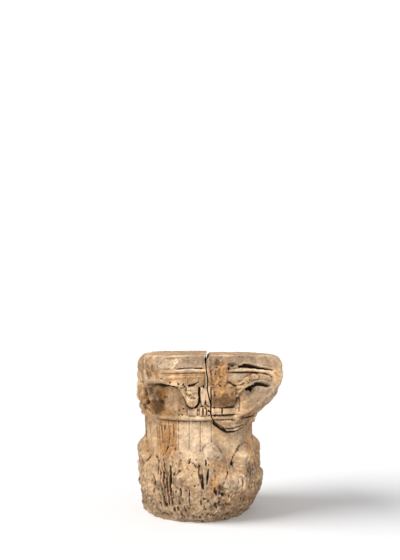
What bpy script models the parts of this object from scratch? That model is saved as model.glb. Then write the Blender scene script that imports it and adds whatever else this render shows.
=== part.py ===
"""A worn marble composite capital, broken through the upper right and set back together.

Metres, +Z up. The origin is the centre of the lower bed, on the column's axis. The front is -Y.
Angles are degrees round the axis from the front, positive towards +X.
Everything from the fillet up hangs from the top by its drop, so a taller capital has a longer bell.
"""
import math

import bmesh
import bpy
import numpy as np
from mathutils import Matrix

# Driving dimensions of the turned body
HEIGHT = 0.420
BED_RADIUS = 0.127
FOOT_SWELL_HEIGHT = 0.012
FOOT_SWELL_RADIUS = 0.135
FOOT_RADIUS = 0.142
FOOT_HEIGHT = 0.030
LEAF_GROUND_RADIUS = 0.146
LEAF_BELLY_HEIGHT = 0.070
NECK_RADIUS = 0.143
NECK_FOOT = 0.175
FILLET_BOTTOM = HEIGHT - 0.1640
FILLET_TOP = HEIGHT - 0.1535
FILLET_ROUND = 0.0025
FILLET_RADIUS = 0.1520
DRUM_RADIUS = 0.150
ARRIS_WEAR = 0.005

# The body isn't quite true: by height, how far it stands out towards one bearing
DRIFT_BEARING = 77.0
DRIFT = (
    (0.000, -0.0050), (0.015, -0.0040), (0.035, 0.0005), (0.060, 0.0050), (0.125, 0.0050),
    (0.145, 0.0025), (0.175, 0.0020), (0.200, 0.0),
)

# Flutes of the bell
FLUTE_COUNT = 32
FLUTE_DEPTH = 0.0034
FLUTE_LINE_DEPTH = 0.0044
FLUTE_LINE_WIDTH = 0.0036
FLUTE_FOOT_RISE = 0.015
WORN_FLUTES_BEARING = 27.0
WORN_FLUTES_HALF_ANGLE = 26.0
WORN_FLUTES_FADE = 0.8

# Leaves: eight in each row
LEAF_COUNT = 8
UPPER_LEAF_TIP = 0.203
UPPER_LEAF_HALF_WIDTH = 0.045
UPPER_LEAF_REACH = 0.1635
LOWER_LEAF_TIP = 0.146
LOWER_LEAF_HALF_WIDTH = 0.052
LOWER_LEAF_REACH = 0.1655
LEAF_FOOT_REACH = 0.1285
LEAF_SWELL_REACH = 0.1395
LEAF_HEEL_REACH = 0.149
LEAF_LEAN = 0.004
LEAF_WEDGE = 0.034
LEAF_WEDGE_DROP = 0.005
LEAF_TIP_PROUD = 0.003
LEAF_GROOVE_DEPTH = 0.0080
LEAF_GROOVE_WIDTH = 0.0065
LEAF_GROOVE_PLACE = 0.0150
LEAF_ARCH_SHARE = 0.32
LEAF_ARCH_POWER = 0.55
LEAF_BACK_POWERS = (2.6, 0.8)
UPPER_LEAF_DRIFT = -4.5
UPPER_TIP_VARIATION = 0.006
LOWER_TIP_VARIATION = 0.012

# Abacus with hollow sides, and the sides of the carved zone under it
ABACUS_HALF = 0.158
ABACUS_HOLLOW = 0.020
ABACUS_HALF_SPAN = 0.178
ABACUS_BOTTOM = HEIGHT - 0.0360
COVE_DEPTH = 0.0045
COVE_BOTTOM = HEIGHT - 0.0510
CHANNEL_DEPTH = 0.0110
CHANNEL_END = 0.160
CORNER_FADE = 0.030
EDGE_SOFTNESS = 0.0016
LIP_WIDTH = 0.0075
LIP_HEIGHT_AT_HORN = HEIGHT - 0.0700
LIP_SHOULDER = HEIGHT - 0.0780
LIP_FOOT = HEIGHT - 0.1310
LIP_START = 0.046
LIP_RISE_LENGTH = 0.046
LIP_LEVEL_LENGTH = 0.050
LIP_HOLLOWNESS = 1.55
WORN_LIP_POWER = 1.15
CHANNEL_ROUNDNESS = 0.6
PLUG_LEFT_EDGE = (-0.022, -0.017)
PLUG_RIGHT_EDGE = (0.032, 0.044)

# Eggs, darts and the bead and reel below them
EGG_PITCH = 0.0545
EGG_HALF_WIDTH = 0.020
EGG_TOP = HEIGHT - 0.0800
EGG_BOTTOM = HEIGHT - 0.1310
EGG_REACH = 0.1615
EGG_NARROWING = 0.25
EGG_ROUNDNESS = 0.7
DART_PLACE = 0.0250
DART_HALF_WIDTH = 0.0100
DART_REACH = 0.1590
DART_FOOT = 0.004
BEAD_BOTTOM = HEIGHT - 0.1515
BEAD_TOP = HEIGHT - 0.1300
BEAD_HALF_LENGTH = 0.0150
BEAD_REACH = 0.1590
REEL_HALF_LENGTH = 0.0044
REEL_PITCH = 0.0095
WORN_EGGS_FROM = -0.006
WORN_EGGS_TO = 0.069
WORN_EGGS_TOP = HEIGHT - 0.0700
WORN_EGGS_REACH = 0.1620
WORN_EGGS_POWER = 3.4

# What is left of the four corners: the bearing of each break and how far out it lies, by the drop
# below the top
CORNER_WIDTH = 26.0
CORNER_SOLID_SHARE = 0.75
CORNER_LIMIT_ANGLE = 75.0
FRONT_RIGHT_BEARING = 45.0
FRONT_RIGHT_REACH = (
    (0.185, 0.140), (0.158, 0.150), (0.145, 0.172), (0.130, 0.193), (0.100, 0.225),
    (0.075, 0.244), (0.048, 0.252), (0.022, 0.246), (0.008, 0.238), (0.000, 0.226),
)
FRONT_LEFT_BEARING = -45.0
FRONT_LEFT_REACH = (
    (0.180, 0.140), (0.140, 0.150), (0.085, 0.172), (0.065, 0.208), (0.020, 0.217), (0.000, 0.206),
)
FRONT_LEFT_SCAR_BEARING = -59.0
FRONT_LEFT_SCAR_REACH = (
    (0.180, 0.140), (0.150, 0.157), (0.110, 0.178), (0.070, 0.196), (0.022, 0.204), (0.000, 0.188),
)
BACK_RIGHT_BEARING = 135.0
BACK_RIGHT_REACH = ((0.180, 0.140), (0.145, 0.165), (0.100, 0.205), (0.060, 0.228), (0.000, 0.232))
BACK_LEFT_BEARING = -126.0
BACK_LEFT_REACH = ((0.185, 0.150), (0.120, 0.159), (0.000, 0.164))
SCAR_WIDTH = 13.0

# The break: an outline seen along the crack, across and the drop below the top, and the gaps left in
# the joint. The seat of the rejoined corner is its lower run, and rises towards the back
BREAK_TURN = 13.9
BREAK_OUTLINE = (
    (0.0345, 0.0000), (0.0290, 0.0050), (0.0235, 0.0135), (0.0220, 0.0450), (0.0255, 0.0750),
    (0.0300, 0.0950), (0.0320, 0.1200), (0.0348, 0.1320), (0.0355, 0.1560), (0.0381, 0.1600),
    (0.0454, 0.1655), (0.0604, 0.1760), (0.0700, 0.1820), (0.0780, 0.1850), (0.0880, 0.1852),
    (0.0985, 0.1830), (0.1196, 0.1792), (0.1450, 0.1720), (0.1650, 0.1620),
)
BREAK_ROUGHNESS = 0.0016
SEAT_RISE = 0.050
SEAT_RISE_FROM = -0.14
SEAT_GAP = 0.0004
SEAT_DROP_FROM = 0.185
SEAT_DROP_TO = 0.160
CRACK_WIDTH = 0.0034
CRACK_MOUTH_WIDTH = 0.0090
CRACK_MOUTH_DEPTH = 0.0200
CALM_MOUTH_SHARE = 0.8
LOBE_RADIUS = 0.1530
LOBE_FOOT_DROP = 0.244
BACK_SLOPE_FROM = -0.060
BACK_SLOPE_TO = 0.170
BACK_SLOPE_DROP = 0.0080
BACK_SLOPE_LIFT = 0.0015

# Wear of the whole surface
WEAR_DEPTH = 0.0016
WEAR_STARTS = 0.020

# How finely the stone is lofted, and how many triangles are kept
COLUMNS = 352
ROWS = 168
KEPT_SHARE_BLOCK = 0.073
KEPT_SHARE_CORNER = 0.050
BREAK_SECTIONS = 26
BREAK_MARGIN = 0.060
BREAK_REACH = 2.0 * ABACUS_HALF_SPAN
TINY = 1e-6


def smooth_step(value, low, high):
    share = np.clip((value - low) / (high - low), 0.0, 1.0)
    return share * share * (3.0 - 2.0 * share)


def bump(offset, half_width):
    """1 at the middle, falling as a round back to 0 at half_width."""
    return np.sqrt(np.clip(1.0 - (offset / half_width) ** 2, 0.0, 1.0))


def rounded(value, power):
    """1 at 0, falling to 0 at 1: a high power gives a flat middle and a short round edge."""
    return np.clip(1.0 - np.abs(value) ** power, 0.0, 1.0)


def raised(reach, share):
    """A form that stands out of the drum as far as reach, by a share of 0 to 1, and nothing where it is 0."""
    return np.where(share > 0.0, DRUM_RADIUS + (reach - DRUM_RADIUS) * share, 0.0)


def turned_away(angle, bearing):
    """Degrees from a bearing, between -180 and 180."""
    return (angle - bearing + 180.0) % 360.0 - 180.0


def at_front(angle):
    return np.abs(turned_away(angle, 0.0)) < 45.0


def turned_radius(height):
    """The plain turned body: foot, leaf ground, neck, fillet and drum."""
    stations = (
        (0.0, BED_RADIUS),
        (FOOT_SWELL_HEIGHT, FOOT_SWELL_RADIUS),
        (FOOT_HEIGHT, FOOT_RADIUS),
        (LEAF_BELLY_HEIGHT, LEAF_GROUND_RADIUS),
        (NECK_FOOT, NECK_RADIUS),
        (FILLET_BOTTOM, NECK_RADIUS),
        (FILLET_BOTTOM + FILLET_ROUND, FILLET_RADIUS),
        (FILLET_TOP, FILLET_RADIUS),
        (FILLET_TOP + FILLET_ROUND, DRUM_RADIUS),
        (HEIGHT, DRUM_RADIUS),
    )
    heights, radii = zip(*stations)
    return np.interp(height, heights, radii)


def drift(angle, height):
    """How far the body is out of true at a place."""
    heights, amounts = zip(*DRIFT)
    return np.interp(height, heights, amounts) * np.cos(np.radians(turned_away(angle, DRIFT_BEARING)))


def flute_cut(angle, height):
    """Shallow flutes with an incised line between each two, from the leaves up to the fillet."""
    pitch = 360.0 / FLUTE_COUNT
    across = turned_away(angle % pitch, 0.0)
    across = np.where(across > 0.5 * pitch, across - pitch, across)
    hollow = FLUTE_DEPTH * np.cos(np.pi * (across / pitch + 0.5)) ** 2
    line = FLUTE_LINE_DEPTH * bump(np.radians(across) * NECK_RADIUS, FLUTE_LINE_WIDTH)
    foot = LOWER_LEAF_TIP - 2.0 * FLUTE_FOOT_RISE
    reach = smooth_step(height, foot, foot + FLUTE_FOOT_RISE)
    reach *= 1.0 - smooth_step(height, FILLET_BOTTOM - FILLET_ROUND, FILLET_BOTTOM)
    worn = np.abs(turned_away(angle, WORN_FLUTES_BEARING))
    reach *= smooth_step(worn, WORN_FLUTES_FADE * WORN_FLUTES_HALF_ANGLE, WORN_FLUTES_HALF_ANGLE)
    return (hollow + line) * reach


def leaf_radius(angle, height, bearing, tip, half_width, reach):
    """One worn leaf: broad below, arched at its tip, leaning out from the foot, a rib between two grooves."""
    across = np.radians(turned_away(angle, bearing)) * LEAF_GROUND_RADIUS
    arch = np.clip((tip - height) / (LEAF_ARCH_SHARE * tip), 0.0, 1.0) ** LEAF_ARCH_POWER
    edge = half_width * arch + TINY
    wedge = tip - LEAF_WEDGE
    profile = (
        (0.0, LEAF_FOOT_REACH),
        (FOOT_SWELL_HEIGHT, LEAF_SWELL_REACH),
        (FOOT_HEIGHT, LEAF_HEEL_REACH),
        (LEAF_BELLY_HEIGHT, reach - LEAF_LEAN),
        (wedge, reach),
        (wedge + 0.6 * LEAF_WEDGE, reach - LEAF_WEDGE_DROP),
        (tip, NECK_RADIUS + LEAF_TIP_PROUD),
    )
    heights, reaches = zip(*profile)
    lean = np.interp(height, heights, reaches)
    back = rounded(across / edge, LEAF_BACK_POWERS[0]) ** LEAF_BACK_POWERS[1]
    groove = LEAF_GROOVE_DEPTH * bump(np.abs(across) - LEAF_GROOVE_PLACE, LEAF_GROOVE_WIDTH)
    groove *= smooth_step(height, FOOT_HEIGHT, LEAF_BELLY_HEIGHT)
    groove *= 1.0 - smooth_step(height, wedge - FOOT_SWELL_HEIGHT, wedge)
    ground = turned_radius(height)
    return np.where((height < tip) & (back > 0.0), ground + (lean - groove - ground) * back, 0.0)


def leaves_radius(angle, height):
    """Eight leaves below and eight above, between them. The two at the front stand a little closer."""
    radius = np.zeros_like(angle)
    pitch = 360.0 / LEAF_COUNT
    for index in range(LEAF_COUNT):
        aside = UPPER_LEAF_DRIFT * math.sin(math.radians(2.0 * pitch * index))
        upper = turned_away(pitch * index, 0.0) + aside
        lower = pitch * (index + 0.5)
        upper_tip = UPPER_LEAF_TIP + UPPER_TIP_VARIATION * math.cos(math.radians(3.0 * upper))
        lower_tip = LOWER_LEAF_TIP - LOWER_TIP_VARIATION * math.sin(math.radians(lower))
        radius = np.maximum(radius, leaf_radius(
            angle, height, upper, upper_tip, UPPER_LEAF_HALF_WIDTH, UPPER_LEAF_REACH))
        radius = np.maximum(radius, leaf_radius(
            angle, height, lower, lower_tip, LOWER_LEAF_HALF_WIDTH, LOWER_LEAF_REACH))
    return radius


def side_place(angle, half):
    """Distance out to a hollow side that lies `half` from the axis at its middle, and the place across it."""
    face = np.radians(turned_away(angle % 90.0, 0.0))
    face = np.where(face > math.pi / 4.0, face - math.pi / 2.0, face)
    hollow = ABACUS_HOLLOW / ABACUS_HALF_SPAN ** 2
    root = np.sqrt(np.clip(np.cos(face) ** 2 - 4.0 * hollow * half * np.sin(face) ** 2, 0.0, None))
    distance = 2.0 * half / (np.cos(face) + root)
    return distance, distance * np.sin(face)


def lip_height(across, worn):
    """The lower lip of the volute channel: a crescent from beside the eggs up and out to the horn."""
    side = np.abs(across)
    share = np.clip((side - LIP_START) / LIP_RISE_LENGTH, 0.0, 1.0)
    over_worn_eggs = np.sin(0.5 * np.pi * share) ** WORN_LIP_POWER
    rise = np.where(worn, over_worn_eggs, share ** LIP_HOLLOWNESS)
    level = np.clip((side - LIP_START - LIP_RISE_LENGTH) / LIP_LEVEL_LENGTH, 0.0, 1.0)
    return LIP_FOOT + (LIP_SHOULDER - LIP_FOOT) * rise + (LIP_HEIGHT_AT_HORN - LIP_SHOULDER) * level


def upper_zone_radius(angle, height):
    """Abacus, cove, volute channel and its lips. Below the lower lip the round drum is left bare."""
    plain, across = side_place(angle, ABACUS_HALF)
    side = np.abs(across)
    front = at_front(angle)
    lip = lip_height(across, front & (across > 0.0))
    cove = COVE_DEPTH * (1.0 - smooth_step(height, ABACUS_BOTTOM - EDGE_SOFTNESS, ABACUS_BOTTOM))
    foot = lip + LIP_WIDTH
    span = np.clip((height - foot) / np.clip(COVE_BOTTOM - foot, TINY, None), 0.0, 1.0)
    channel = (CHANNEL_DEPTH - COVE_DEPTH) * np.sin(np.pi * span) ** CHANNEL_ROUNDNESS
    channel = channel * (1.0 - smooth_step(side, CHANNEL_END - 0.5 * CORNER_FADE, CHANNEL_END))
    crusted = smooth_step(across, *PLUG_LEFT_EDGE) * (1.0 - smooth_step(across, *PLUG_RIGHT_EDGE)) * front
    cut = plain - (cove + np.where(height < COVE_BOTTOM, channel, 0.0)) * (1.0 - crusted)
    underside = np.where(side > LIP_START, lip, EGG_TOP)
    share = smooth_step(height - underside, -EDGE_SOFTNESS, EDGE_SOFTNESS)
    return raised(cut, share)


def egg_zone_radius(angle, height):
    """Three eggs on each side with a dart between each two, and beads and reels under them."""
    _, across = side_place(angle, ABACUS_HALF)
    radius = np.zeros_like(angle)
    outward = 1.0 / np.cos(np.arctan2(across, ABACUS_HALF))
    egg_middle = 0.5 * (EGG_TOP + EGG_BOTTOM)
    egg_rise = 0.5 * (EGG_TOP - EGG_BOTTOM)
    bead_middle = 0.5 * (BEAD_TOP + BEAD_BOTTOM)
    bead_round = bump(height - bead_middle, 0.5 * (BEAD_TOP - BEAD_BOTTOM))
    for index in (-1, 0, 1):
        side = across - index * EGG_PITCH
        narrow = 1.0 - EGG_NARROWING * smooth_step(egg_middle - height, 0.0, egg_rise)
        egg = bump(side, EGG_HALF_WIDTH * narrow) * bump(height - egg_middle, egg_rise) ** EGG_ROUNDNESS
        radius = np.maximum(radius, raised(EGG_REACH * outward, egg))
        radius = np.maximum(radius, raised(BEAD_REACH, bump(side, BEAD_HALF_LENGTH) * bead_round))
    for place in (-DART_PLACE, DART_PLACE):
        side = across - place
        dart = rounded(side / DART_HALF_WIDTH, 6.0) * (height < EGG_TOP)
        dart = dart * smooth_step(height, EGG_BOTTOM, EGG_BOTTOM + DART_FOOT)
        radius = np.maximum(radius, raised(DART_REACH, dart))
        for pair in (-0.5, 0.5):
            reel = bump(side - pair * REEL_PITCH, REEL_HALF_LENGTH) * bead_round
            radius = np.maximum(radius, raised(BEAD_REACH, reel))
    return radius


def worn_eggs_radius(angle, height):
    """On the front, right of the crack, the eggs and darts are rubbed down to one swelling."""
    _, across = side_place(angle, ABACUS_HALF)
    side = (2.0 * across - WORN_EGGS_FROM - WORN_EGGS_TO) / (WORN_EGGS_TO - WORN_EGGS_FROM)
    rise = (2.0 * height - WORN_EGGS_TOP - EGG_BOTTOM) / (WORN_EGGS_TOP - EGG_BOTTOM)
    swelling = np.sqrt(rounded(side, WORN_EGGS_POWER) * rounded(rise, WORN_EGGS_POWER))
    outward = 1.0 / np.cos(np.arctan2(across, ABACUS_HALF))
    return raised(WORN_EGGS_REACH * outward, swelling * at_front(angle))


def reach_at(height, reach):
    """How far out a broken corner lies at a height, and the height where it starts."""
    drops, distances = zip(*reach)
    heights = [HEIGHT - drop for drop in drops]
    return np.interp(height, heights, distances), heights[0]


def stump_radius(angle, height, bearing, reach, width):
    """Stone left where a volute has broken away: a rough face square to its bearing."""
    away = turned_away(angle, bearing)
    distance, foot = reach_at(height, reach)
    plain, across = side_place(angle, ABACUS_HALF)
    edge = CHANNEL_END - CORNER_FADE
    recess = 1.0 - smooth_step(np.abs(across), edge - CORNER_FADE, edge)
    square = np.cos(np.radians(np.clip(away, -CORNER_LIMIT_ANGLE, CORNER_LIMIT_ANGLE)))
    face = np.minimum(distance / square, plain - CHANNEL_DEPTH * recess)
    window = 1.0 - smooth_step(np.abs(away), CORNER_SOLID_SHARE * width, width)
    ground = turned_radius(height)
    standing = (window > 0.0) & (height > foot)
    return np.where(standing, ground + np.maximum(face - ground, 0.0) * window, 0.0)


def cut_back(radius, angle, height, bearing, reach):
    """Nothing stands further out than the break at this bearing."""
    away = turned_away(angle, bearing)
    distance, _ = reach_at(height, reach)
    square = np.cos(np.radians(np.clip(away, -CORNER_LIMIT_ANGLE, CORNER_LIMIT_ANGLE)))
    near = (np.abs(away) < CORNER_LIMIT_ANGLE) & (height > FILLET_TOP)
    limit = np.maximum(distance / square, turned_radius(height))
    return np.where(near, np.minimum(radius, limit), radius)


def wear(angle, height):
    """Slow uneven weathering, the same each time it is worked out."""
    turn = np.radians(angle)
    waves = (
        np.sin(3.0 * turn + 21.0 * height + 0.7) + 0.8 * np.sin(5.0 * turn - 34.0 * height + 2.1)
        + 0.6 * np.sin(9.0 * turn + 55.0 * height + 4.0) + 0.5 * np.sin(14.0 * turn - 83.0 * height + 1.3)
    )
    return WEAR_DEPTH * waves / 2.0 * smooth_step(height, 0.0, WEAR_STARTS)


def stone_radius(angle, height, with_lobe):
    """The carved surface. with_lobe gives the rejoined corner's skin, which stands proud of the neck."""
    neck = turned_radius(height) - flute_cut(angle, height)
    if with_lobe:
        proud = (height > HEIGHT - LOBE_FOOT_DROP) & (height < FILLET_BOTTOM + FILLET_ROUND)
        neck = np.where(proud, np.maximum(neck, LOBE_RADIUS), neck)
    radius = np.maximum(neck, leaves_radius(angle, height))
    radius = np.maximum(radius, egg_zone_radius(angle, height))
    radius = np.maximum(radius, worn_eggs_radius(angle, height))
    radius = np.maximum(radius, upper_zone_radius(angle, height))
    radius = np.maximum(radius, stump_radius(
        angle, height, FRONT_RIGHT_BEARING, FRONT_RIGHT_REACH, CORNER_WIDTH))
    radius = np.maximum(radius, stump_radius(
        angle, height, FRONT_LEFT_SCAR_BEARING, FRONT_LEFT_SCAR_REACH, SCAR_WIDTH))
    radius = np.maximum(radius, stump_radius(
        angle, height, BACK_RIGHT_BEARING, BACK_RIGHT_REACH, CORNER_WIDTH))
    radius = cut_back(radius, angle, height, FRONT_RIGHT_BEARING, FRONT_RIGHT_REACH)
    radius = cut_back(radius, angle, height, FRONT_LEFT_BEARING, FRONT_LEFT_REACH)
    radius = cut_back(radius, angle, height, BACK_RIGHT_BEARING, BACK_RIGHT_REACH)
    radius = cut_back(radius, angle, height, BACK_LEFT_BEARING, BACK_LEFT_REACH)
    top_round = 1.0 - bump(np.clip(height - (HEIGHT - ARRIS_WEAR), 0.0, None), ARRIS_WEAR)
    return radius + drift(angle, height) + wear(angle, height) - ARRIS_WEAR * top_round


def lofted_stone(name, with_lobe, collection):
    """Rings of the carved outline at every height, closed by a flat bed below and above."""
    angles = np.arange(COLUMNS) * 360.0 / COLUMNS
    heights = np.linspace(0.0, HEIGHT, ROWS)
    angle, height = np.meshgrid(angles, heights)
    radius = stone_radius(angle, height, with_lobe)
    turn = np.radians(angle)
    points = np.stack((radius * np.sin(turn), -radius * np.cos(turn), height), axis=-1).reshape(-1, 3)
    mesh = bpy.data.meshes.new(name)
    shape = bmesh.new()
    corners = [shape.verts.new(point) for point in points]
    for row in range(ROWS - 1):
        for column in range(COLUMNS):
            beside = (column + 1) % COLUMNS
            low, high = row * COLUMNS, (row + 1) * COLUMNS
            shape.faces.new((
                corners[low + column], corners[low + beside], corners[high + beside], corners[high + column]))
    shape.faces.new(corners[:COLUMNS][::-1])
    shape.faces.new(corners[-COLUMNS:])
    shape.to_mesh(mesh)
    shape.free()
    stone = bpy.data.objects.new(name, mesh)
    collection.objects.link(stone)
    return stone


def break_section(depth, gap_open):
    """The break's outline at one depth along the crack, roughened, with the joint's gap taken off it."""
    section = []
    last = len(BREAK_OUTLINE) - 1
    for index, (across, drop) in enumerate(BREAK_OUTLINE):
        before = BREAK_OUTLINE[max(index - 1, 0)]
        after = BREAK_OUTLINE[min(index + 1, last)]
        run = math.hypot(after[0] - before[0], after[1] - before[1])
        normal = ((before[1] - after[1]) / run, -(after[0] - before[0]) / run)
        upright = 1.0 - float(smooth_step(drop, SEAT_DROP_TO, SEAT_DROP_FROM))
        mouth = 1.0 - float(smooth_step(drop, 0.0, CRACK_MOUTH_DEPTH))
        gap = SEAT_GAP + (CRACK_WIDTH - SEAT_GAP) * upright + (CRACK_MOUTH_WIDTH - CRACK_WIDTH) * mouth
        rough = BREAK_ROUGHNESS * (1.0 - CALM_MOUTH_SHARE * mouth) * (
            math.sin(61.0 * depth + 2.3 * index) + 0.7 * math.sin(103.0 * depth - 1.7 * index + 1.0))
        push = rough + (gap if gap_open else 0.0)
        rise = SEAT_RISE * max(depth, SEAT_RISE_FROM) * (1.0 - upright)
        section.append((across + normal[0] * push, HEIGHT - drop + normal[1] * push + rise))
    far_height = section[-1][1] + BREAK_MARGIN
    top = HEIGHT + BREAK_MARGIN
    if not gap_open:
        slope = float(smooth_step(depth, BACK_SLOPE_FROM, BACK_SLOPE_TO))
        top = HEIGHT + BACK_SLOPE_LIFT - (BACK_SLOPE_DROP + BACK_SLOPE_LIFT) * slope
        section[0] = (section[0][0], min(section[0][1], top - SEAT_GAP))
    return [(section[0][0], top)] + section + [(BREAK_REACH, far_height), (BREAK_REACH, top)]


def break_cutter(name, gap_open, collection):
    """A solid on the rejoined corner's side of the break: sections along the crack, lofted and capped."""
    depths = np.linspace(-BREAK_REACH, BREAK_REACH, BREAK_SECTIONS)
    mesh = bpy.data.meshes.new(name)
    shape = bmesh.new()
    rings = []
    for depth in depths:
        ring = [shape.verts.new((across, depth, height)) for across, height in break_section(depth, gap_open)]
        rings.append(ring)
    count = len(rings[0])
    for near, far in zip(rings[:-1], rings[1:]):
        for index in range(count):
            beside = (index + 1) % count
            shape.faces.new((near[index], near[beside], far[beside]))
            shape.faces.new((near[index], far[beside], far[index]))
    shape.faces.new(rings[0][::-1])
    shape.faces.new(rings[-1])
    bmesh.ops.recalc_face_normals(shape, faces=shape.faces)
    shape.transform(Matrix.Rotation(math.radians(-BREAK_TURN), 4, "Z"))
    shape.to_mesh(mesh)
    shape.free()
    cutter = bpy.data.objects.new(name, mesh)
    collection.objects.link(cutter)
    cutter.display_type = "WIRE"
    cutter.hide_render = True
    return cutter


def stone_material(name, colour, roughness):
    material = bpy.data.materials.new(name)
    material.use_nodes = True
    shader = material.node_tree.nodes["Principled BSDF"]
    shader.inputs["Base Color"].default_value = (*colour, 1.0)
    shader.inputs["Roughness"].default_value = roughness
    shader.inputs["Metallic"].default_value = 0.0
    return material


def thin_out(stone, share):
    """Fewer triangles where the surface is calm."""
    thinning = stone.modifiers.new("calm areas", "DECIMATE")
    thinning.decimate_type = "COLLAPSE"
    thinning.ratio = share


def cut(stone, cutter, operation):
    """Keep what lies on one side of the break."""
    parting = stone.modifiers.new("break", "BOOLEAN")
    parting.operation = operation
    parting.solver = "EXACT"
    parting.object = cutter


def main():
    for thing in list(bpy.data.objects):
        bpy.data.objects.remove(thing, do_unlink=True)
    parts = bpy.data.collections.new("composite capital")
    cutters = bpy.data.collections.new("cutters")
    bpy.context.scene.collection.children.link(parts)
    bpy.context.scene.collection.children.link(cutters)

    block = lofted_stone("capital_block", False, parts)
    thin_out(block, KEPT_SHARE_BLOCK)
    cut(block, break_cutter("break_with_gap", True, cutters), "DIFFERENCE")
    block.data.materials.append(stone_material("aged cream marble", (0.46, 0.29, 0.17), 0.85))

    corner = lofted_stone("rejoined_corner", True, parts)
    thin_out(corner, KEPT_SHARE_CORNER)
    cut(corner, break_cutter("break_face", False, cutters), "INTERSECT")
    corner.data.materials.append(stone_material("browned marble", (0.41, 0.23, 0.12), 0.85))


main()
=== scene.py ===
"""The looks of a worn marble composite capital, broken through the upper right and set back together.

Metres, +Z up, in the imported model's own frame. The front is -Y. Bearings are degrees round the axis from
the front, positive towards +X. Both stones are carved once more here as fine mesh, on the same forms as
the solids that they stand for, and each keeps inside its solid's box.
"""

import functools
import math

import bmesh
import bpy
import numpy as np
from mathutils import Matrix, Vector
from mathutils.bvhtree import BVHTree


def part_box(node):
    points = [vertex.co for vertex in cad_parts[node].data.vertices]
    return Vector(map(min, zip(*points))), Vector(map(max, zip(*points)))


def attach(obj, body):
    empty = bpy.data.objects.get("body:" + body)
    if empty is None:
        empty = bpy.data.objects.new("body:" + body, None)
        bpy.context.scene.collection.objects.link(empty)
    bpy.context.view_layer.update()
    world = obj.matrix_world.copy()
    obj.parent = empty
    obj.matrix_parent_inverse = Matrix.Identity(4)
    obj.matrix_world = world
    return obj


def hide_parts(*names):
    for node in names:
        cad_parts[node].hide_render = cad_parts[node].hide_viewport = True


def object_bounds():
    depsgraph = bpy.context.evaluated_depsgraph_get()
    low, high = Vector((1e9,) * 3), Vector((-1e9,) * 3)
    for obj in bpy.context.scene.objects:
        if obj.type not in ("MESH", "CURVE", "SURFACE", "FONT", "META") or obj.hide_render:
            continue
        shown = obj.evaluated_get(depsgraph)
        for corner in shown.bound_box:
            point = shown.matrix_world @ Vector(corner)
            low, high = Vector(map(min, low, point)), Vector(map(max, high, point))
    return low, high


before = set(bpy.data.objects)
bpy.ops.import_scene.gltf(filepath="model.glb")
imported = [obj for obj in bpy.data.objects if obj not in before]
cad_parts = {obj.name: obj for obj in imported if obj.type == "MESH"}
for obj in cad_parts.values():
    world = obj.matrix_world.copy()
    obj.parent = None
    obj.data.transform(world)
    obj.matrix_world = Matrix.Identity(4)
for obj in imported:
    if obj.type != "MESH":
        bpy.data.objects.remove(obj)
CAD_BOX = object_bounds()

# Marks and outlines are given in tenths of a millimetre
TENTHS = 1e4


def in_metres(table):
    return tuple(tuple(value / TENTHS for value in row) for row in table)

# The turned body
HEIGHT = 0.420
BED_RADIUS = 0.127
FOOT_SWELL_HEIGHT = 0.012
FOOT_SWELL_RADIUS = 0.135
FOOT_RADIUS = 0.142
FOOT_HEIGHT = 0.030
LEAF_GROUND_RADIUS = 0.146
LEAF_BELLY_HEIGHT = 0.070
NECK_RADIUS = 0.143
NECK_FOOT = 0.175
FILLET_BOTTOM = 0.2570
FILLET_TOP = 0.2665
FILLET_RADIUS = 0.1520
DRUM_RADIUS = 0.150
ARRIS_WEAR = 0.005
BROKEN_ARRIS_WEAR = 0.013
BROKEN_ARRIS_BEARING = -92.0
WORN_BACK_BEARING = -108.0
WORN_BACK_HALF_ANGLE = 48.0
WORN_BACK_DEPTH = 0.013
WORN_BACK_FOOT = 0.382

# The body isn't quite true: by height, how far it stands out towards one bearing
DRIFT_BEARING = 77.0
DRIFT = (
    (0.000, -0.0050), (0.015, -0.0040), (0.035, 0.0005), (0.060, 0.0050), (0.125, 0.0050),
    (0.145, 0.0025), (0.175, 0.0020), (0.200, 0.0),
)

# Flutes of the bell, and where they are worn away
FLUTE_COUNT = 32
FLUTE_DEPTH = 0.0020
FLUTE_LINE_DEPTH = 0.0022
FLUTE_LINE_WIDTH = 0.0014
WORN_FLUTES_BEARING = 27.0
WORN_FLUTES_HALF_ANGLE = 26.0
FLUTE_PHASE = 8.5
# Leaves, and how much of its ribs each leaf has kept, going round from the front
LEAF_COUNT = 8
UPPER_LEAF_TIPS = (0.2000, 0.1930, 0.2060, 0.2000, 0.2040, 0.2000, 0.2070, 0.1900)
UPPER_LEAF_DRIFT = 4.5
UPPER_LEAF_HALF_WIDTH = 0.045
UPPER_LEAF_REACH = 0.1635
UPPER_LEAF_RIBS = (0.12, 0.20, 0.70, 0.60, 0.80, 0.60, 0.70, 0.85)
LOWER_LEAF_TIP = 0.146
LOWER_TIP_VARIATION = 0.012
LOWER_LEAF_HALF_WIDTH = 0.052
LOWER_LEAF_REACH = 0.1655
LOWER_LEAF_RIBS = (0.05, 0.40, 0.60, 0.50, 0.70, 0.50, 0.40, 0.12)
LEAF_FOOT_REACH = 0.1285
LEAF_SWELL_REACH = 0.1395
LEAF_HEEL_REACH = 0.149
LEAF_SOFT_EDGE = 0.60
LEAF_WEDGE = 0.034
LEAF_TIP_EASE = 0.004
LEAF_LOBE_HEIGHT = 0.052
LEAF_LOBE_PROUD = 0.0014
LEAF_RIB_PITCH = 0.0088
LEAF_RIB_GROOVE = 0.0036
LEAF_RIB_DEPTH = 0.0070

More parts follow.
